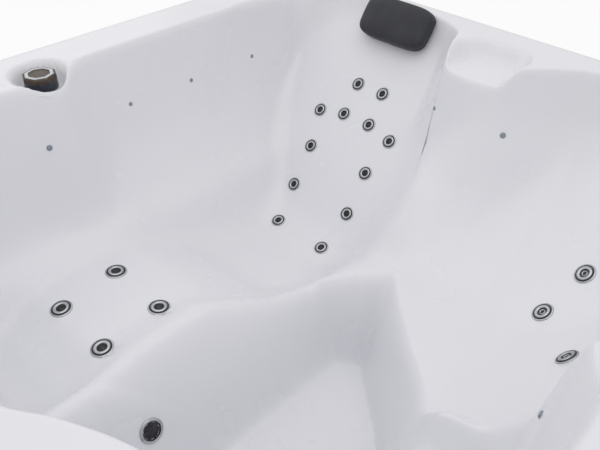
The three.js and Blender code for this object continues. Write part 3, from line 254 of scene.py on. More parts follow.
class TubForm:
    """The moulded form: how deep the shell's face lies at each point of the plan."""

    footwell_depth = 800.0
    wall_slope = 4.5
    ridge_slope = 0.95
    blend = 60.0
    crest_blend = 150.0
    ridge_blend = 130.0
    wall_blend = 100.0
    shelf = Rounded(1013, 232, 128, 122, 85, 55)

    def __init__(self) -> None:
        """Samples the rim's inner edge and the curves of the lounger and seats."""
        self.edge = closed_spline(RIM_INNER_EDGE, 22)
        self.along = SmoothCurve(LOUNGER_ALONG)
        self.across = SmoothCurve(LOUNGER_ACROSS)
        self.ridge_line = SmoothCurve([(b, a) for a, b, _ in RIDGE])
        self.ridge_depth = SmoothCurve([(b, depth) for _, b, depth in RIDGE])
        self.seat_wall = SmoothCurve(SEAT_WALL)
        self.arm = SmoothCurve(ARM_CREST)
        self.flats: list[tuple[Array, Array, float]] = []

    def edge_distance(self, a: Array, b: Array) -> Array:
        """Distance inside the rim's inner edge: to its nearest stretch, signed by crossings.

        Args:
            a: Plan positions across.
            b: Plan positions along.

        Returns:
            The distances, negative on the rim.
        """
        shape = np.shape(a)
        point = np.stack([np.ravel(a), np.ravel(b)], 1)
        start, end = np.roll(self.edge, 1, 0), self.edge
        run = end - start
        result = np.empty(len(point))
        for low in range(0, len(point), 20000):
            part = point[low:low + 20000, None, :]
            off = part - start
            t = np.clip((off * run).sum(2) / (run**2).sum(1), 0, 1)
            near = np.linalg.norm(off - t[..., None] * run, axis=2).min(1)
            y = part[..., 1]
            spans = (start[:, 1] > y) != (end[:, 1] > y)
            cross = start[:, 0] + (y - start[:, 1]) / np.where(run[:, 1] == 0, 1, run[:, 1]) * run[:, 0]
            odd = (spans & (part[..., 0] < cross)).sum(1) % 2 == 1
            result[low:low + 20000] = np.where(odd, near, -near)
        return result.reshape(shape)

    def footwell_sides(self, a: Array, b: Array) -> Array:
        """Rise above the footwell's floor: the steepest of its side planes, rounded by 70."""
        rises = [
            slope * ((a - p[0]) * out[0] + (b - p[1]) * out[1]) / math.hypot(*out)
            for p, out, slope in FOOTWELL_SIDES
        ]
        total = rises[0]
        for rise in rises[1:]:
            total = soft_max(total, rise, 70)
        return total

    def footwell(self, a: Array, b: Array) -> Array:
        """Depth of the footwell: its floor, or less where a side plane rises."""
        floor = self.footwell_depth
        return soft_min(floor, floor - self.footwell_sides(a, b), self.blend)

    @staticmethod
    def behind(a: Array, b: Array, foot_point: tuple, facing: tuple) -> Array:
        """Distance of a point behind a line through foot_point that faces one way."""
        along = (foot_point[0] - a) * facing[0] + (foot_point[1] - b) * facing[1]
        return along / math.hypot(*facing)

    def seats(self, a: Array, b: Array, wall: Array) -> Array:
        """Depth of the lounger and of the two corner seats, the deepest at each point.

        Args:
            a: Plan positions across.
            b: Plan positions along.
            wall: Distances inside the rim's inner edge.

        Returns:
            The depths.
        """
        blend = self.blend
        ridge = self.ridge_depth(b) - (self.ridge_blend - blend) / 4
        line = self.ridge_line(b)
        bed = soft_min(self.along(b), self.across(a), 80)
        lounger = soft_min(bed, ridge + self.ridge_slope * (line - a), blend)
        back = 550 - 0.84 * self.behind(a, b, (right(475), 755), (-0.607, 0.794))
        corner = soft_min(soft_min(550, back, blend), self.seat_wall(wall), 130)
        corner = soft_min(corner, ridge + self.ridge_slope * (a - line), blend)
        corner = soft_min(corner, self.arm(a) + 1.55 * (1098 - b), blend / 2)
        back = 500 - 1.3 * self.behind(a, b, (right(370), foot(530)), (-0.85, -0.527))
        near = soft_min(soft_min(500, back, blend), 500 + 0.9 * (a - 1260), blend)
        near = soft_min(near, self.arm(a) + 1.55 * (b - 1098), blend / 2)
        return soft_max(lounger, soft_max(corner, near, blend / 2), self.ridge_blend)

    def moulded(self, a: Array, b: Array) -> Array:
        """Depth of the face before the fittings' flats are pressed into it."""
        wall = self.edge_distance(a, b)
        hollow = soft_max(self.seats(a, b, wall), self.footwell(a, b), self.crest_blend)
        tub = soft_min(hollow, self.wall_slope * soft_ramp(wall, 12), self.wall_blend)
        shelf = soft_min(self.shelf.depth, 2 * self.shelf.inside(a, b), 24)
        tub = soft_max(soft_max(tub, shelf, 26), KNOB_RECESS.depth_at(a, b), 26)
        tub = soft_max(tub, FILTER_RECESS.depth_at(a, b), 4)
        return soft_ramp(soft_max(tub, AIR_RECESS.depth_at(a, b), 10), 13)

    def depth(self, a: Array, b: Array) -> Array:
        """Depth of the finished face: the moulded form, flat round each fitting.

        Round a fitting the depth is that of the fitting's own plane, and it goes back to the
        moulded form over the next 14 mm.

        Args:
            a: Plan positions across.
            b: Plan positions along.

        Returns:
            The depths.
        """
        depth = self.moulded(a, b)
        for point, normal, radius in self.flats:
            da, db = a - point[0], b - point[1]
            plane = point[2] + (normal[0] * da - normal[1] * db) / normal[2]
            away = np.sqrt(da**2 + db**2 + (depth - point[2]) ** 2)
            t = np.clip((radius + 14 - away) / 14, 0, 1)
            depth = depth + (plane - depth) * t * t * (3 - 2 * t)
        return depth

    def normals(self, a: Array, b: Array, depth: Callable[[Array, Array], Array]) -> Array:
        """Unit normals of the face from the slopes of the depth over 3 mm each way."""
        h = 3.0
        along_a = (depth(a + h, b) - depth(a - h, b)) / (2 * h)
        along_b = (depth(a, b + h) - depth(a, b - h)) / (2 * h)
        normal = np.stack([along_a, -along_b, np.ones_like(along_a)], -1)
        return normal / np.linalg.norm(normal, axis=-1, keepdims=True)

    def press_flat(self, place: Vector, normal: Vector, radius: float) -> None:
        """Adds a flat for a fitting.

        Args:
            place: The fitting's place in metres.
            normal: The way it faces.
            radius: Radius of the flat in millimetres.
        """
        a, b = place.x / MM + WIDTH / 2, LENGTH / 2 - place.y / MM
        point = np.array([a, b, HEIGHT - place.z / MM])
        self.flats.append((point, np.array(normal), radius))


# Meshes.
def world(a: Array, b: Array, depth: Array) -> Array:
    """Points in metres from plan places and depths, with Z up and Y towards the head."""
    a, b, depth = np.broadcast_arrays(a, b, depth)
    return np.stack([a - WIDTH / 2, LENGTH / 2 - b, HEIGHT - depth], -1) * MM


def grid_faces(rows: int, columns: int, wrap_rows: bool = False, wrap_columns: bool = True) -> Array:
    """Quads of a grid of points, joined at its ends where it wraps."""
    i = np.arange(rows if wrap_rows else rows - 1)[:, None]
    j = np.arange(columns if wrap_columns else columns - 1)[None, :]
    down, across = (i + 1) % rows, (j + 1) % columns
    quad = [i * columns + j, i * columns + across, down * columns + across, down * columns + j]
    return np.stack(np.broadcast_arrays(*quad), -1).reshape(-1, 4)


def closed_fan(start: int, count: int, tip: int, flip: bool = False) -> Array:
    """Triangles from a ring to one point."""
    j = np.arange(count)
    k = (j + 1) % count
    ring = (start + k, start + j) if flip else (start + j, start + k)
    return np.stack([*ring, np.full(count, tip)], -1)


def all_faces(quads: Array, *fans: Array) -> list[list[int]]:
    """Quads and triangles in one list."""
    return quads.tolist() + [tri for fan in fans for tri in fan.tolist()]


def placed(points: Array, place: Vector, normal: Vector, turn: float = 0.0) -> Array:
    """Points of a piece in its own frame, set down at a place with its +Z along normal."""
    across = Vector((0, 0, 1)).cross(normal)
    across = across.normalized() if across.length > 1e-4 else Vector((1, 0, 0))
    basis = Matrix((across, normal.cross(across), normal)).transposed()
    spin = Matrix.Rotation(turn, 3, "Z")
    return points @ np.array(basis @ spin).T + np.array(place)


@dataclass(frozen=True)
class Band:
    """A stretch of a turned profile: its (radius, height) points in mm and its slot."""

    points: tuple[tuple[float, float], ...]
    slot: int


def turned(name: str, bands: Sequence[Band], place: Vector, normal: Vector,
           materials: Sequence[bpy.types.Material], sides: int = 48,
           wave: Callable[[Array, Array, Array], tuple[Array, Array]] | None = None) -> bpy.types.Object:
    """A closed turned piece: each point is (r cos t, r sin t, z) for the profile's (r, z).

    Args:
        name: The piece's name.
        bands: The profile from its middle underneath, out and up, back to its middle on top.
        place: Where the piece stands, in metres.
        normal: The way its +Z points.
        materials: Finishes of its slots.
        sides: Number of steps round.
        wave: Changes (radius, height) by the angle, for a piece that isn't round.

    Returns:
        The new object.
    """
    profile = [p for band in bands for p in band.points]
    slots = [band.slot for band in bands for _ in band.points][1:]
    radius, height = np.array(profile, float).T
    angle = np.linspace(0, 2 * np.pi, sides, endpoint=False)
    r, z = np.meshgrid(radius, angle, indexing="ij")[0], np.meshgrid(height, angle, indexing="ij")[0]
    t = np.broadcast_to(angle, r.shape)
    if wave:
        r, z = wave(r, z, t)
    points = np.stack([r * np.cos(t), r * np.sin(t), z], -1) * MM
    rows = len(profile)
    quads = grid_faces(rows, sides)
    ends = np.array([[0, 0, height[0]], [0, 0, height[-1]]]) * MM
    base = closed_fan(0, sides, rows * sides, flip=True)
    top = closed_fan((rows - 1) * sides, sides, rows * sides + 1)
    cloud = np.concatenate([points.reshape(-1, 3), ends])
    per_row = np.repeat(np.array(slots), sides)
    faces = all_faces(quads, base, top)
    every = np.concatenate([per_row, np.full(sides, slots[0]), np.full(sides, slots[-1])])
    mesh = bpy.data.meshes.new(name)
    mesh.from_pydata(placed(cloud, place, normal).tolist(), [], faces)
    for material in materials:
        mesh.materials.append(material)
    mesh.polygons.foreach_set("material_index", every.astype(np.int32))
    mesh.polygons.foreach_set("use_smooth", np.ones(len(faces), bool))
    mesh.update()
    piece = bpy.data.objects.new(name, mesh)
    bpy.context.collection.objects.link(piece)
    return piece


# Finishes.
def linear(colour: str) -> tuple[float, float, float, float]:
    """A linear colour from an sRGB hex value such as "#f0f0f4"."""
    values = np.array([int(colour[i:i + 2], 16) / 255 for i in (1, 3, 5)])
    low, high = values / 12.92, ((values + 0.055) / 1.055) ** 2.4
    return (*np.where(values <= 0.04045, low, high).tolist(), 1.0)


def add_node(tree: bpy.types.NodeTree, kind: str, values: dict | None = None,
             links: dict | None = None, **settings: object) -> bpy.types.Node:
    """Adds a shader node with its settings, socket values and incoming links.

    Args:
        tree: The material's node tree.
        kind: The node's type name, without its ShaderNode part.
        values: Socket values by name or number.
        links: Sockets that feed this node's inputs, by input name or number.
        settings: The node's own properties.

    Returns:
        The new node.
    """
    node = tree.nodes.new("ShaderNode" + kind)
    for key, value in settings.items():
        setattr(node, key, value)
    for key, value in (values or {}).items():
        node.inputs[key].default_value = value
    for key, socket in (links or {}).items():
        tree.links.new(socket, node.inputs[key])
    return node


@dataclass(frozen=True)
class Finish:
    """A moulded or cast finish: its colours, gloss and the size of its surface grain.

    The colour drifts between two shades in soft patches, and a fine noise lifts the surface.
    """

    name: str
    colour: str
    shade: str
    roughness: float
    metallic: float = 0.0
    ior: float = 1.5
    patch: float = 120.0
    grain: float = 1.2
    lift: float = 0.05
    coat: float = 0.0
    streak: tuple[float, float, float] = (1.0, 1.0, 1.0)

    def material(self) -> bpy.types.Material:
        """Builds the material.

        Returns:
            A node material whose patterns are sized in millimetres on Object coordinates.
        """
        material = bpy.data.materials.new(self.name)
        material.use_nodes = True
        tree = material.node_tree
        shader = tree.nodes["Principled BSDF"]
        place = add_node(tree, "TexCoord").outputs["Object"]
        drawn = add_node(tree, "Mapping", {"Scale": self.streak}, {"Vector": place}).outputs[0]
        patches = add_node(tree, "TexNoise", {"Scale": 1000 / self.patch, "Detail": 3.0},
                           {"Vector": drawn}).outputs["Fac"]
        mixed = add_node(tree, "Mix", {6: linear(self.colour), 7: linear(self.shade)},
                         {0: patches}, data_type="RGBA")
        tree.links.new(mixed.outputs[2], shader.inputs["Base Color"])
        grain = add_node(tree, "TexNoise", {"Scale": 1000 / self.grain, "Detail": 2.0},
                         {"Vector": drawn}).outputs["Fac"]
        bump = add_node(tree, "Bump", {"Strength": self.lift, "Distance": 0.0004},
                        {"Height": grain})
        tree.links.new(bump.outputs[0], shader.inputs["Normal"])
        spread = add_node(tree, "MapRange", {3: self.roughness * 0.85, 4: self.roughness * 1.2},
                          {0: patches})
        tree.links.new(spread.outputs[0], shader.inputs["Roughness"])
        shader.inputs["Metallic"].default_value = self.metallic
        if not self.metallic:
            shader.inputs["IOR"].default_value = self.ior
        shader.inputs["Coat Weight"].default_value = self.coat
        return material


# Polished cast acrylic, vacuum formed: a cool white with a sharp gloss and the faint ripple of
# a sheet drawn over a mould.
ACRYLIC = Finish("cast_acrylic", "#e9e9ed", "#e4e4e9", 0.26, ior=1.49, patch=260, grain=38,
                 lift=0.06)
# Brushed stainless steel, pressed: a fine grain that widens the highlight.
STAINLESS = Finish("stainless_steel", "#c6c8ca", "#aeb1b4", 0.24, metallic=1.0, patch=30,
                   grain=0.8, lift=0.12)
# ABS, moulded dark: nearly black with a soft sheen.
DARK_ABS = Finish("dark_abs", "#1b1c21", "#121318", 0.34, ior=1.54, patch=40, grain=0.9, lift=0.08)
# Pewter-toned plated ABS: a warm grey metal skin.
PEWTER = Finish("pewter_plate", "#5f574e", "#4a433c", 0.38, metallic=0.85, patch=24, grain=1.2,
                lift=0.1)
NAVY_ABS = Finish("navy_abs", "#20263a", "#171c2c", 0.3, ior=1.54, patch=40, grain=1.0, lift=0.06)
# Skinned polyurethane foam: charcoal, dull, with a leathery pebble.
SKINNED_FOAM = Finish("skinned_foam", "#303137", "#26272c", 0.55, ior=1.5, patch=50, grain=2.4,
                      lift=0.35)
# Rigid PVC pipe, white and slightly dusty.
PVC = Finish("white_pvc", "#e4e5e1", "#d3d4cf", 0.42, ior=1.53, patch=70, grain=1.6, lift=0.05)
GALVANISED = Finish("galvanised_steel", "#a9adb0", "#8d9194", 0.42, metallic=0.9, patch=22,
                    grain=1.0, lift=0.08)
# Wood-plastic boards, extruded: grey brown with a grain drawn out along the board.
BOARDS = Finish("composite_boards", "#6d665f", "#544e48", 0.6, ior=1.5, patch=60, grain=3.0,
                lift=0.5, streak=(0.06, 0.06, 1.0))
# High-density polyethylene, moulded black.
MOULDED_PE = Finish("moulded_polyethylene", "#2b2c2f", "#232427", 0.5, ior=1.51, patch=90,
                    grain=1.8, lift=0.2)
ENAMEL = Finish("motor_enamel", "#2c4468", "#243a5a", 0.36, ior=1.5, patch=60, grain=2.0, lift=0.1)
FELT = Finish("pleated_felt", "#efeee8", "#dddbd2", 0.95, ior=1.5, patch=20, grain=0.9, lift=0.5)
LENS = Finish("lens_polycarbonate", "#8d96a0", "#7b8490", 0.12, ior=1.585, patch=12, grain=3.0,
              lift=0.05)


class Finishes:
    """The materials of the tub, each built once."""

    def __init__(self) -> None:
        """Builds every material."""
        self.built = {
            finish.name: finish.material()
            for finish in (ACRYLIC, STAINLESS, DARK_ABS, PEWTER, NAVY_ABS, SKINNED_FOAM, PVC,
                           GALVANISED, BOARDS, MOULDED_PE, ENAMEL, FELT, LENS)
        }

    def __getitem__(self, finish: Finish) -> bpy.types.Material:
        """The material of a finish."""
        return self.built[finish.name]


@dataclass
class Shell:
    """The acrylic shell, a closed surface in rows from its lip to the middle of the footwell."""

    form: TubForm
    finishes: Finishes
    columns: int = 560
    lip_drop: float = 60.0
    lip_wall: float = 10.0
    step: float = 6.0
    step_width: float = 24.0

    def rays(self) -> tuple[Array, Array]:
        """Directions from the middle: to evenly spread points of the rim and of its corners.

        Returns:
            The unit directions, and the distance to the rim's inner edge along each.
        """
        loop = closed_spline(RIM_INNER_EDGE, 6)
        corner = np.linspace(0, np.pi / 2, 24)
        arcs = [
            np.stack([cx + CORNER * np.cos(corner + q), cy + CORNER * np.sin(corner + q)], 1)
            for cx, cy, q in (
                (right(CORNER), foot(CORNER), 0), (CORNER, foot(CORNER), np.pi / 2),
                (CORNER, CORNER, np.pi), (right(CORNER), CORNER, 1.5 * np.pi))
        ]
        off = np.concatenate([loop, *arcs]) - MIDDLE
        angle = np.sort(np.arctan2(off[:, 1], off[:, 0]))
        pick = np.interp(np.linspace(0, 1, self.columns, endpoint=False),
                         np.linspace(0, 1, len(angle)), angle)[::-1]
        out = np.stack([np.cos(pick), np.sin(pick)], 1)
        inside = lambda t: self.form.edge_distance(*self.along(out, t)) < 0
        return out, self.bisect(inside, np.full(len(out), 300.0), np.full(len(out), 1300.0))

    @staticmethod
    def along(out: Array, t: Array) -> tuple[Array, Array]:
        """Plan places at distances t along rays from the middle."""
        return MIDDLE[0] + out[:, 0] * t, MIDDLE[1] + out[:, 1] * t

    @staticmethod
    def bisect(test: Callable[[Array], Array], low: Array, high: Array) -> Array:
        """Halves each interval 30 times towards the place where the test turns true."""
        for _ in range(30):
            middle = (low + high) / 2
            over = test(middle)
            high, low = np.where(over, middle, high), np.where(over, low, middle)
        return (low + high) / 2

    def outline(self, out: Array, inset: float) -> Array:
        """Distances from the middle to the rim's outline, moved in by the inset."""
        shape = Rounded(WIDTH / 2, LENGTH / 2, WIDTH / 2 - inset, LENGTH / 2 - inset,
                        max(1.0, CORNER - inset))
        count = len(out)
        test = lambda t: shape.inside(*self.along(out, t)) < 0
        return self.bisect(test, np.full(count, 300.0), np.full(count, 2500.0))

    def crest(self, out: Array, edge: Array) -> tuple[Array, Array]:
        """Distances to the top of the footwell's wall and to its floor's edge.

        Args:
            out: Directions from the middle.
            edge: Distances to the rim's inner edge.

        Returns:
            The two arrays of distances.
        """
        form = self.form
        steps = np.arange(0, 900, 12.0)[:, None]
        a, b = MIDDLE[0] + out[:, 0] * steps, MIDDLE[1] + out[:, 1] * steps
        over = form.footwell(a, b) < form.seats(a, b, form.edge_distance(a, b))
        first = np.where(over.any(0), over.argmax(0) * 12.0, 900.0)
        crest = np.minimum(first, edge - 104)
        rise = lambda t: form.moulded(*self.along(out, t)) < form.footwell_depth - 1
        return crest, self.bisect(rise, np.zeros(len(out)), crest)

    def lip_rows(self, out: Array) -> list[Array]:
        """Rows of the outer lip: up its outside, round its edge, over the step and onto the rim."""
        bend = np.radians([0, 22, 45, 67, 90])
        profile = [
            (self.lip_wall, self.lip_drop - 1), (self.lip_wall - 2, self.lip_drop),
            (2, self.lip_drop), (0, self.lip_drop - 2), (0, 40), (0, 20),
            *[(4 - 4 * math.cos(t), self.step + 4 - 4 * math.sin(t)) for t in bend],
            (14, self.step), (self.step_width - 1, self.step), (self.step_width, self.step - 1),
            (self.step_width + 0.5, 2), (self.step_width + 2, 0.4), (self.step_width + 5, 0),
        ]
        return [world(*self.along(out, self.outline(out, inset)), depth) for inset, depth in profile]

    def face_distances(self, out: Array, edge: Array) -> list[Array]:
        """Distances of the face's rows, close where the form bends and wider between."""
        crest, floor = self.crest(out, edge)
        rim = self.outline(out, self.step_width + 8)
        stops = [
            (rim, 22), (edge + 20, 16), (edge - 60, 34), (crest + 40, 14), (crest - 40, 12),
            (floor + 30, 14), (floor - 6, 7), (floor * 0.15, 0),
        ]
        rows = []
        for (start, count), (end, _) in zip(stops, stops[1:]):
            rows += [start + (end - start) * k / count for k in range(count)]
        return [*rows, stops[-1][0]]

    def build(self) -> bpy.types.Object:
        """Builds the shell with its wall as one closed mesh.

        Returns:
            The shell, riding on the tub.
        """
        out, edge = self.rays()
        form = self.form
        distances = self.face_distances(out, edge)
        t = np.stack(distances)
        a, b = MIDDLE[0] + out[:, 0] * t, MIDDLE[1] + out[:, 1] * t
        front = world(a, b, form.depth(a, b))
        keep = np.arange(6, len(distances) - 1, 4)[::-1]
        ra, rb = a[keep], b[keep]
        back = world(ra, rb, form.moulded(ra, rb)) - form.normals(ra, rb, form.moulded) * WALL * MM
        rim_back = [
            world(*self.along(out, self.outline(out, inset)), depth)
            for inset, depth in ((40, WALL), (self.lip_wall, self.step + WALL))
        ]
        rows = [*self.lip_rows(out), *front, *back, *rim_back]
        points = np.concatenate(rows)
        count, columns = len(rows), len(out)
        split = len(rows) - len(back) - len(rim_back)
        quads = grid_faces(count, columns, wrap_rows=True)
        row_of = np.repeat(np.arange(count), columns)
        quads = quads[row_of != split - 1]
        tips = world(np.array([MIDDLE[0]] * 2), np.array([MIDDLE[1]] * 2),
                     np.array([form.footwell_depth, form.footwell_depth + WALL]))
        top = closed_fan((split - 1) * columns, columns, len(points))
        under = closed_fan(split * columns, columns, len(points) + 1, flip=True)
        faces = all_faces(quads, top, under)
        mesh = bpy.data.meshes.new("moulded_shell")
        mesh.from_pydata(np.concatenate([points, tips]).tolist(), [], faces)
        mesh.materials.append(self.finishes[ACRYLIC])
        mesh.polygons.foreach_set("use_smooth", np.ones(len(faces), bool))
        mesh.update()
        piece = bpy.data.objects.new("moulded_shell", mesh)
        bpy.context.collection.objects.link(piece)
        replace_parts(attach(piece, "tub"), "acrylic_shell")
        return piece


class JetKind(Enum):
    """The sizes of jet face, by the start of their nodes' names."""

    BACK = "back_jet"
    CALF = "calf_jet"
    SEAT = "seat_jet"


JET_RADIUS = {JetKind.BACK: 25.0, JetKind.CALF: 32.0, JetKind.SEAT: 30.0}


def joint_frame(name: str) -> tuple[Vector, Vector]:
    """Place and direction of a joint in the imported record."""
    joint = next(j for j in frame["joints"] if j["name"] == name)
    return Vector(joint["pos_m"]), Vector(joint["axis"]).normalized()


@dataclass
class Jets:
    """The jet faces: a pale flange, a dark seal, a pressed steel ring and a dark nozzle in a cup."""

    form: TubForm
    finishes: Finishes

    def bands(self, kind: JetKind) -> list[Band]:
        """The profile of a jet face of this size, as shares of its radius.

        Args:
            kind: Size of the jet.

        Returns:
            The bands, from underneath to the middle of the nozzle.
        """
        r = JET_RADIUS[kind]
        rim = [(0.3 * r, 0.3), (r, 0.3), (r, 1.4), (r * 0.985, 2.2), (r * 0.94, 2.8), (r * 0.88, 3.0)]
        seal = [(r * 0.86, 3.0), (r * 0.85, 4.2), (r * 0.81, 5.0), (r * 0.75, 5.2), (r * 0.7, 5.0)]
        steel = [(r * 0.68, 5.0), (r * 0.65, 5.9), (r * 0.59, 6.3), (r * 0.52, 6.1),
                 (r * 0.47, 5.4), (r * 0.44, 4.2)]
        cup = [(r * 0.42, 3.8), (r * 0.38, 1.6), (r * 0.34, 1.0), (r * 0.3, 1.0)]
        bands = [Band(tuple(rim), 1), Band(tuple(seal), 0), Band(tuple(steel), 1)]
        if kind is JetKind.SEAT:
            tip = [(r * 0.28, 1.4), (r * 0.27, 3.4), (r * 0.24, 3.9), (r * 0.2, 3.6), (r * 0.18, 2.4)]
            dot = [(r * 0.16, 1.6), (r * 0.1, 1.2), (r * 0.02, 1.2)]
            return [*bands, Band(tuple(cup), 0), Band(tuple(tip), 1), Band(tuple(dot), 0)]
        cup += [(r * 0.27, 2.4), (r * 0.22, 3.0), (r * 0.14, 3.2), (r * 0.02, 3.3)]
        return [*bands, Band(tuple(cup), 0)]

    def build(self) -> list[bpy.types.Object]:
        """Builds a face for each jet of the record and presses its flat into the shell."""
        pieces = []
        materials = [self.finishes[DARK_ABS], self.finishes[STAINLESS]]
        for joint in frame["joints"]:
            kind = next((k for k in JetKind if joint["name"].startswith(k.value)), None)
            if kind is None:
                continue
            place, normal = joint_frame(joint["name"])
            self.form.press_flat(place, normal, JET_RADIUS[kind] + 2)
            body = joint["child"]
            number = body[-2:]
            piece = turned(f"{kind.value}_{number}_dressed", self.bands(kind), place, normal,
                           materials)
            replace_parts(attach(piece, body), f"{kind.value}_face_{number}")
            pieces.append(piece)
        return pieces


@dataclass
class WhirlJet:
    """The star fitting of the footwell's wall: a steel ring round a dark rose with seven rays."""

    form: TubForm
    finishes: Finishes
    radius: float = 34.0
    rays: int = 7

    def build(self) -> bpy.types.Object:
        """Builds the rose: between 0.3 and 0.72 of the radius its height follows the angle.

        Returns:
            The star fitting.
        """
        r = self.radius
        bands = [
            Band(((r * 0.3, 0.3), (r, 0.3), (r, 2.0), (r * 0.97, 3.2), (r * 0.9, 4.6), (r * 0.82, 4.8),
                  (r * 0.77, 4.2)), 1),
            Band(((r * 0.75, 3.0), (r * 0.72, 3.4), (r * 0.66, 4.0), (r * 0.58, 5.0), (r * 0.48, 6.2),
                  (r * 0.4, 7.0), (r * 0.3, 7.6), (r * 0.2, 7.8), (r * 0.02, 7.8)), 0),
        ]

        def notched(radius: Array, height: Array, angle: Array) -> tuple[Array, Array]:
            ring = np.clip((radius / r - 0.25) / 0.15, 0, 1) * np.clip((0.76 - radius / r) / 0.06, 0, 1)
            notch = np.clip(np.cos(self.rays * angle) * 3 + 0.6, 0, 1)
            return radius, height - ring * notch * 4.2

        place, normal = joint_frame("whirl_jet_turn")
        self.form.press_flat(place, normal, r + 2)
        piece = turned("star_nozzle", bands, place, normal,
                       [self.finishes[DARK_ABS], self.finishes[STAINLESS]], 112, notched)
        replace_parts(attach(piece, "whirl_jet"), "whirl_jet_nozzle")
        return piece


@dataclass
class RimControls:
    """The diverter and air knobs: a navy skirt under a plated eight-sided cap with a pale ring."""

    finishes: Finishes

    def knob(self, name: str, body: str, node: str, radius: float, height: float) -> bpy.types.Object:
        """Builds one knob; its grip's radius follows the eight sides of a rounded octagon.

        Args:
            name: The piece's name.
            body: Body that it rides on.
            node: CAD node that it replaces.
            radius: Radius of the skirt in millimetres.
            height: Height of the knob in millimetres.

        Returns:
            The knob.
        """
        low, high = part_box(node)
        place = Vector(((low.x + high.x) / 2, (low.y + high.y) / 2, low.z))
        r, h = radius, height
        bands = [
            Band(((r * 0.3, 0), (r * 0.94, 0), (r * 0.95, h * 0.1), (r * 0.94, h * 0.4),
                  (r * 0.92, h * 0.58)), 0),
            Band(((r * 0.95, h * 0.62), (r * 0.99, h * 0.66), (r, h * 0.72), (r, h * 0.86),
                  (r * 0.97, h * 0.93), (r * 0.9, h * 0.97), (r * 0.86, h * 0.975)), 1),
            Band(((r * 0.84, h * 0.98), (r * 0.82, h * 0.995), (r * 0.72, h), (r * 0.66, h * 0.995),
                  (r * 0.64, h * 0.98)), 2),
            Band(((r * 0.62, h * 0.95), (r * 0.6, h * 0.94), (r * 0.4, h * 0.945),
                  (r * 0.2, h * 0.95), (r * 0.02, h * 0.95)), 1),
        ]

        def eight_sided(radius_: Array, height_: Array, angle: Array) -> tuple[Array, Array]:
            step = np.pi / 4
            within = (angle % step) - step / 2
            flat = np.cos(step / 2) / np.cos(within)
            above_skirt = np.clip((height_ - h * 0.6) / (h * 0.04), 0, 1)
            off_middle = np.clip(radius_ / (r * 0.6) - 0.2, 0, 1)
            share = above_skirt * off_middle
            return radius_ * (1 + (flat - 1) * share), height_

        piece = turned(name, bands, place, Vector((0, 0, 1)),
                       [self.finishes[NAVY_ABS], self.finishes[PEWTER], self.finishes[STAINLESS]],
                       96, eight_sided)
        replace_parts(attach(piece, body), node)
        return piece

    def build(self) -> list[bpy.types.Object]:
        """Builds both knobs."""
        return [
            self.knob("diverter_grip", "diverter", "diverter_knob", 50, 46),
            self.knob("air_control_grip", "air_control", "air_control_knob", 38, 26),
        ]


@dataclass
class Pillow:
    """The head pillow: a crowned pad of skinned foam with drawn-in sides."""

    finishes: Finishes
    sides: int = 120

    def build(self) -> bpy.types.Object:
        """Rounds the pad's solid: its own mesh, merged, divided twice and pulled smooth.

        Returns:
            The pad.
        """
        source = frame["nodes"]["head_pillow"]
        mesh = source.data.copy()
        piece = bpy.data.objects.new("foam_pillow", mesh)
        bpy.context.collection.objects.link(piece)
        piece.data.materials.clear()
        piece.data.materials.append(self.finishes[SKINNED_FOAM])
        weld = piece.modifiers.new("weld", "WELD")
        weld.merge_threshold = 0.0001
        divide = piece.modifiers.new("divide", "SUBSURF")
        divide.levels = divide.render_levels = 2
        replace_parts(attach(piece, "pillow"), "head_pillow")
        return piece


@dataclass
class Carried:
    """The nodes that keep their CAD solids, each with its real finish."""

    finishes: Finishes
    finish_of: dict[str, Finish] = field(default_factory=lambda: {
        "base_pan": MOULDED_PE, "corner_post": MOULDED_PE, "frame": GALVANISED,
        "panel": BOARDS, "access_panel": BOARDS, "lounge_jet_manifold": PVC,
        "calf_jet_manifold": PVC, "seat_jet_manifold": PVC, "suction_manifold": PVC,
        "diverter_valve": PVC, "air_control_valve": PVC, "filter_canister": PVC,
        "filter_cartridge": FELT, "filter_lid": ACRYLIC, "pump_volute": DARK_ABS,
        "pump_impeller": DARK_ABS, "pump_motor": ENAMEL, "heater_tube": STAINLESS,
        "control_box": DARK_ABS, "suction_cover": DARK_ABS, "drain": DARK_ABS,
        "waterline_light_string": LENS,
    })

    def dress(self) -> int:
        """Gives each node that is still shown the finish whose key starts its name.

        Returns:
            How many nodes were dressed.
        """
        count = 0
        for name, node in frame["nodes"].items():
            keys = [key for key in self.finish_of if name.startswith(key)]
            if not keys or node.hide_render:
                continue
            finish = self.finish_of[max(keys, key=len)]
            for slot in node.material_slots:
                slot.material = self.finishes[finish]
            count += 1
        return count


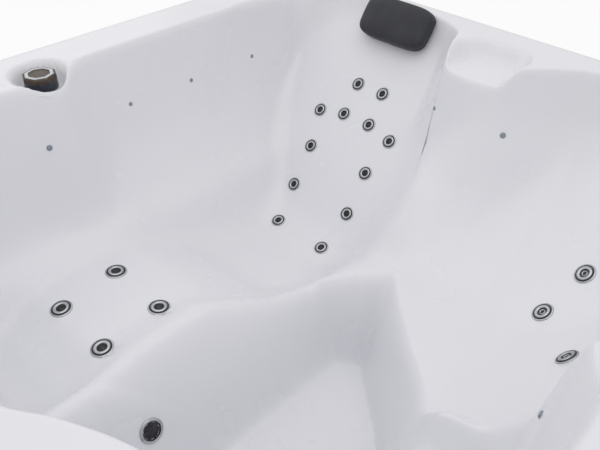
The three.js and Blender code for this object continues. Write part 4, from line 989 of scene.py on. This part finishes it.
class Studio:
    """Floor, light and camera."""

    rim = HEIGHT * MM

    def camera(self) -> None:
        """Places the camera: 2.875 m along the plan's diagonal from the head left corner."""
        data = bpy.data.cameras.new("photo_view")
        data.lens, data.sensor_width = 42.0, 36.0
        data.clip_start, data.clip_end = 0.05, 100.0
        camera = bpy.data.objects.new("photo_view", data)
        bpy.context.collection.objects.link(camera)
        slant, pitch = 2.875 / math.sqrt(2), math.radians(37.3)
        camera.location = (-1 + slant, 1 - slant, self.rim + 0.873)
        aim = Vector((-math.cos(pitch) / math.sqrt(2), math.cos(pitch) / math.sqrt(2), -math.sin(pitch)))
        camera.rotation_euler = aim.to_track_quat("-Z", "Y").to_euler()
        bpy.context.scene.camera = camera

    def world(self) -> None:
        """Lights the tub from all round, and shows white to the camera and to gloss."""
        sky = bpy.data.worlds.new("white_room")
        bpy.context.scene.world = sky
        sky.use_nodes = True
        tree = sky.node_tree
        tree.nodes.clear()
        path = add_node(tree, "LightPath")
        seen = add_node(tree, "Math", {}, {0: path.outputs["Is Camera Ray"],
                                           1: path.outputs["Is Transmission Ray"]}, operation="MAXIMUM")
        room = add_node(tree, "Background", {"Color": (1, 1, 1, 1), "Strength": 0.75})
        white = add_node(tree, "Background", {"Color": (1, 1, 1, 1), "Strength": 1.0})
        mixed = add_node(tree, "MixShader", {}, {0: seen.outputs[0], 1: room.outputs[0],
                                                 2: white.outputs[0]})
        add_node(tree, "OutputWorld", {}, {"Surface": mixed.outputs[0]})

    def lamp(self, name: str, place: tuple, aim: tuple, size: float, power: float) -> None:
        """Adds one square area lamp."""
        data = bpy.data.lights.new(name, "AREA")
        data.size, data.energy = size, power
        lamp = bpy.data.objects.new(name, data)
        bpy.context.collection.objects.link(lamp)
        lamp.location = place
        lamp.rotation_euler = (Vector(aim) - Vector(place)).to_track_quat("-Z", "Y").to_euler()

    def floor(self) -> None:
        """A wide pale floor that looks white to the camera and keeps the tub's shadow."""
        mesh = bpy.data.meshes.new("studio_floor")
        reach, drop = 12.0, -0.001
        corners = [(x * reach, y * reach, drop) for x, y in ((-1, -1), (1, -1), (1, 1), (-1, 1))]
        mesh.from_pydata(corners, [], [(0, 1, 2, 3)])
        floor = bpy.data.objects.new("studio_floor", mesh)
        bpy.context.collection.objects.link(floor)
        material = bpy.data.materials.new("pale_floor")
        material.use_nodes = True
        tree = material.node_tree
        shader = tree.nodes["Principled BSDF"]
        shader.inputs["Base Color"].default_value = linear("#f4f4f4")
        shader.inputs["Roughness"].default_value = 0.8
        white_share = 0.86
        seen = add_node(tree, "LightPath").outputs["Is Camera Ray"]
        share = add_node(tree, "Math", {1: white_share}, {0: seen}, operation="MULTIPLY")
        white = add_node(tree, "Emission", {"Color": (1, 1, 1, 1), "Strength": 1.0})
        mixed = add_node(tree, "MixShader", {}, {0: share.outputs[0], 1: shader.outputs[0],
                                                 2: white.outputs[0]})
        tree.links.new(mixed.outputs[0], tree.nodes["Material Output"].inputs["Surface"])
        mesh.materials.append(material)

    def build(self) -> None:
        """Sets the camera, then the floor, the room and the lamps."""
        self.camera()
        self.floor()
        self.world()
        self.lamp("ceiling", (0.2, -0.1, 4.2), (0, 0, 0.4), 4.0, 30)
        self.lamp("left_window", (-3.4, 0.6, 3.0), (0, 0, 0.5), 3.0, 12)
        bpy.context.scene.view_settings.view_transform = "Standard"


def main() -> None:
    """Builds every sub-assembly."""
    logging.basicConfig(level=logging.INFO, format="%(name)s: %(message)s")
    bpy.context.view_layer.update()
    Studio().build()
    finishes = Finishes()
    form = TubForm()
    jets = Jets(form, finishes).build()
    LOG.info("%d jet faces", len(jets))
    LOG.info("%s", WhirlJet(form, finishes).build().name)
    for knob in RimControls(finishes).build():
        LOG.info("%s", knob.name)
    LOG.info("%s", Pillow(finishes).build().name)
    LOG.info("%s", Shell(form, finishes).build().name)
    LOG.info("%d nodes dressed", Carried(finishes).dress())


if __name__ == "__main__":
    main()
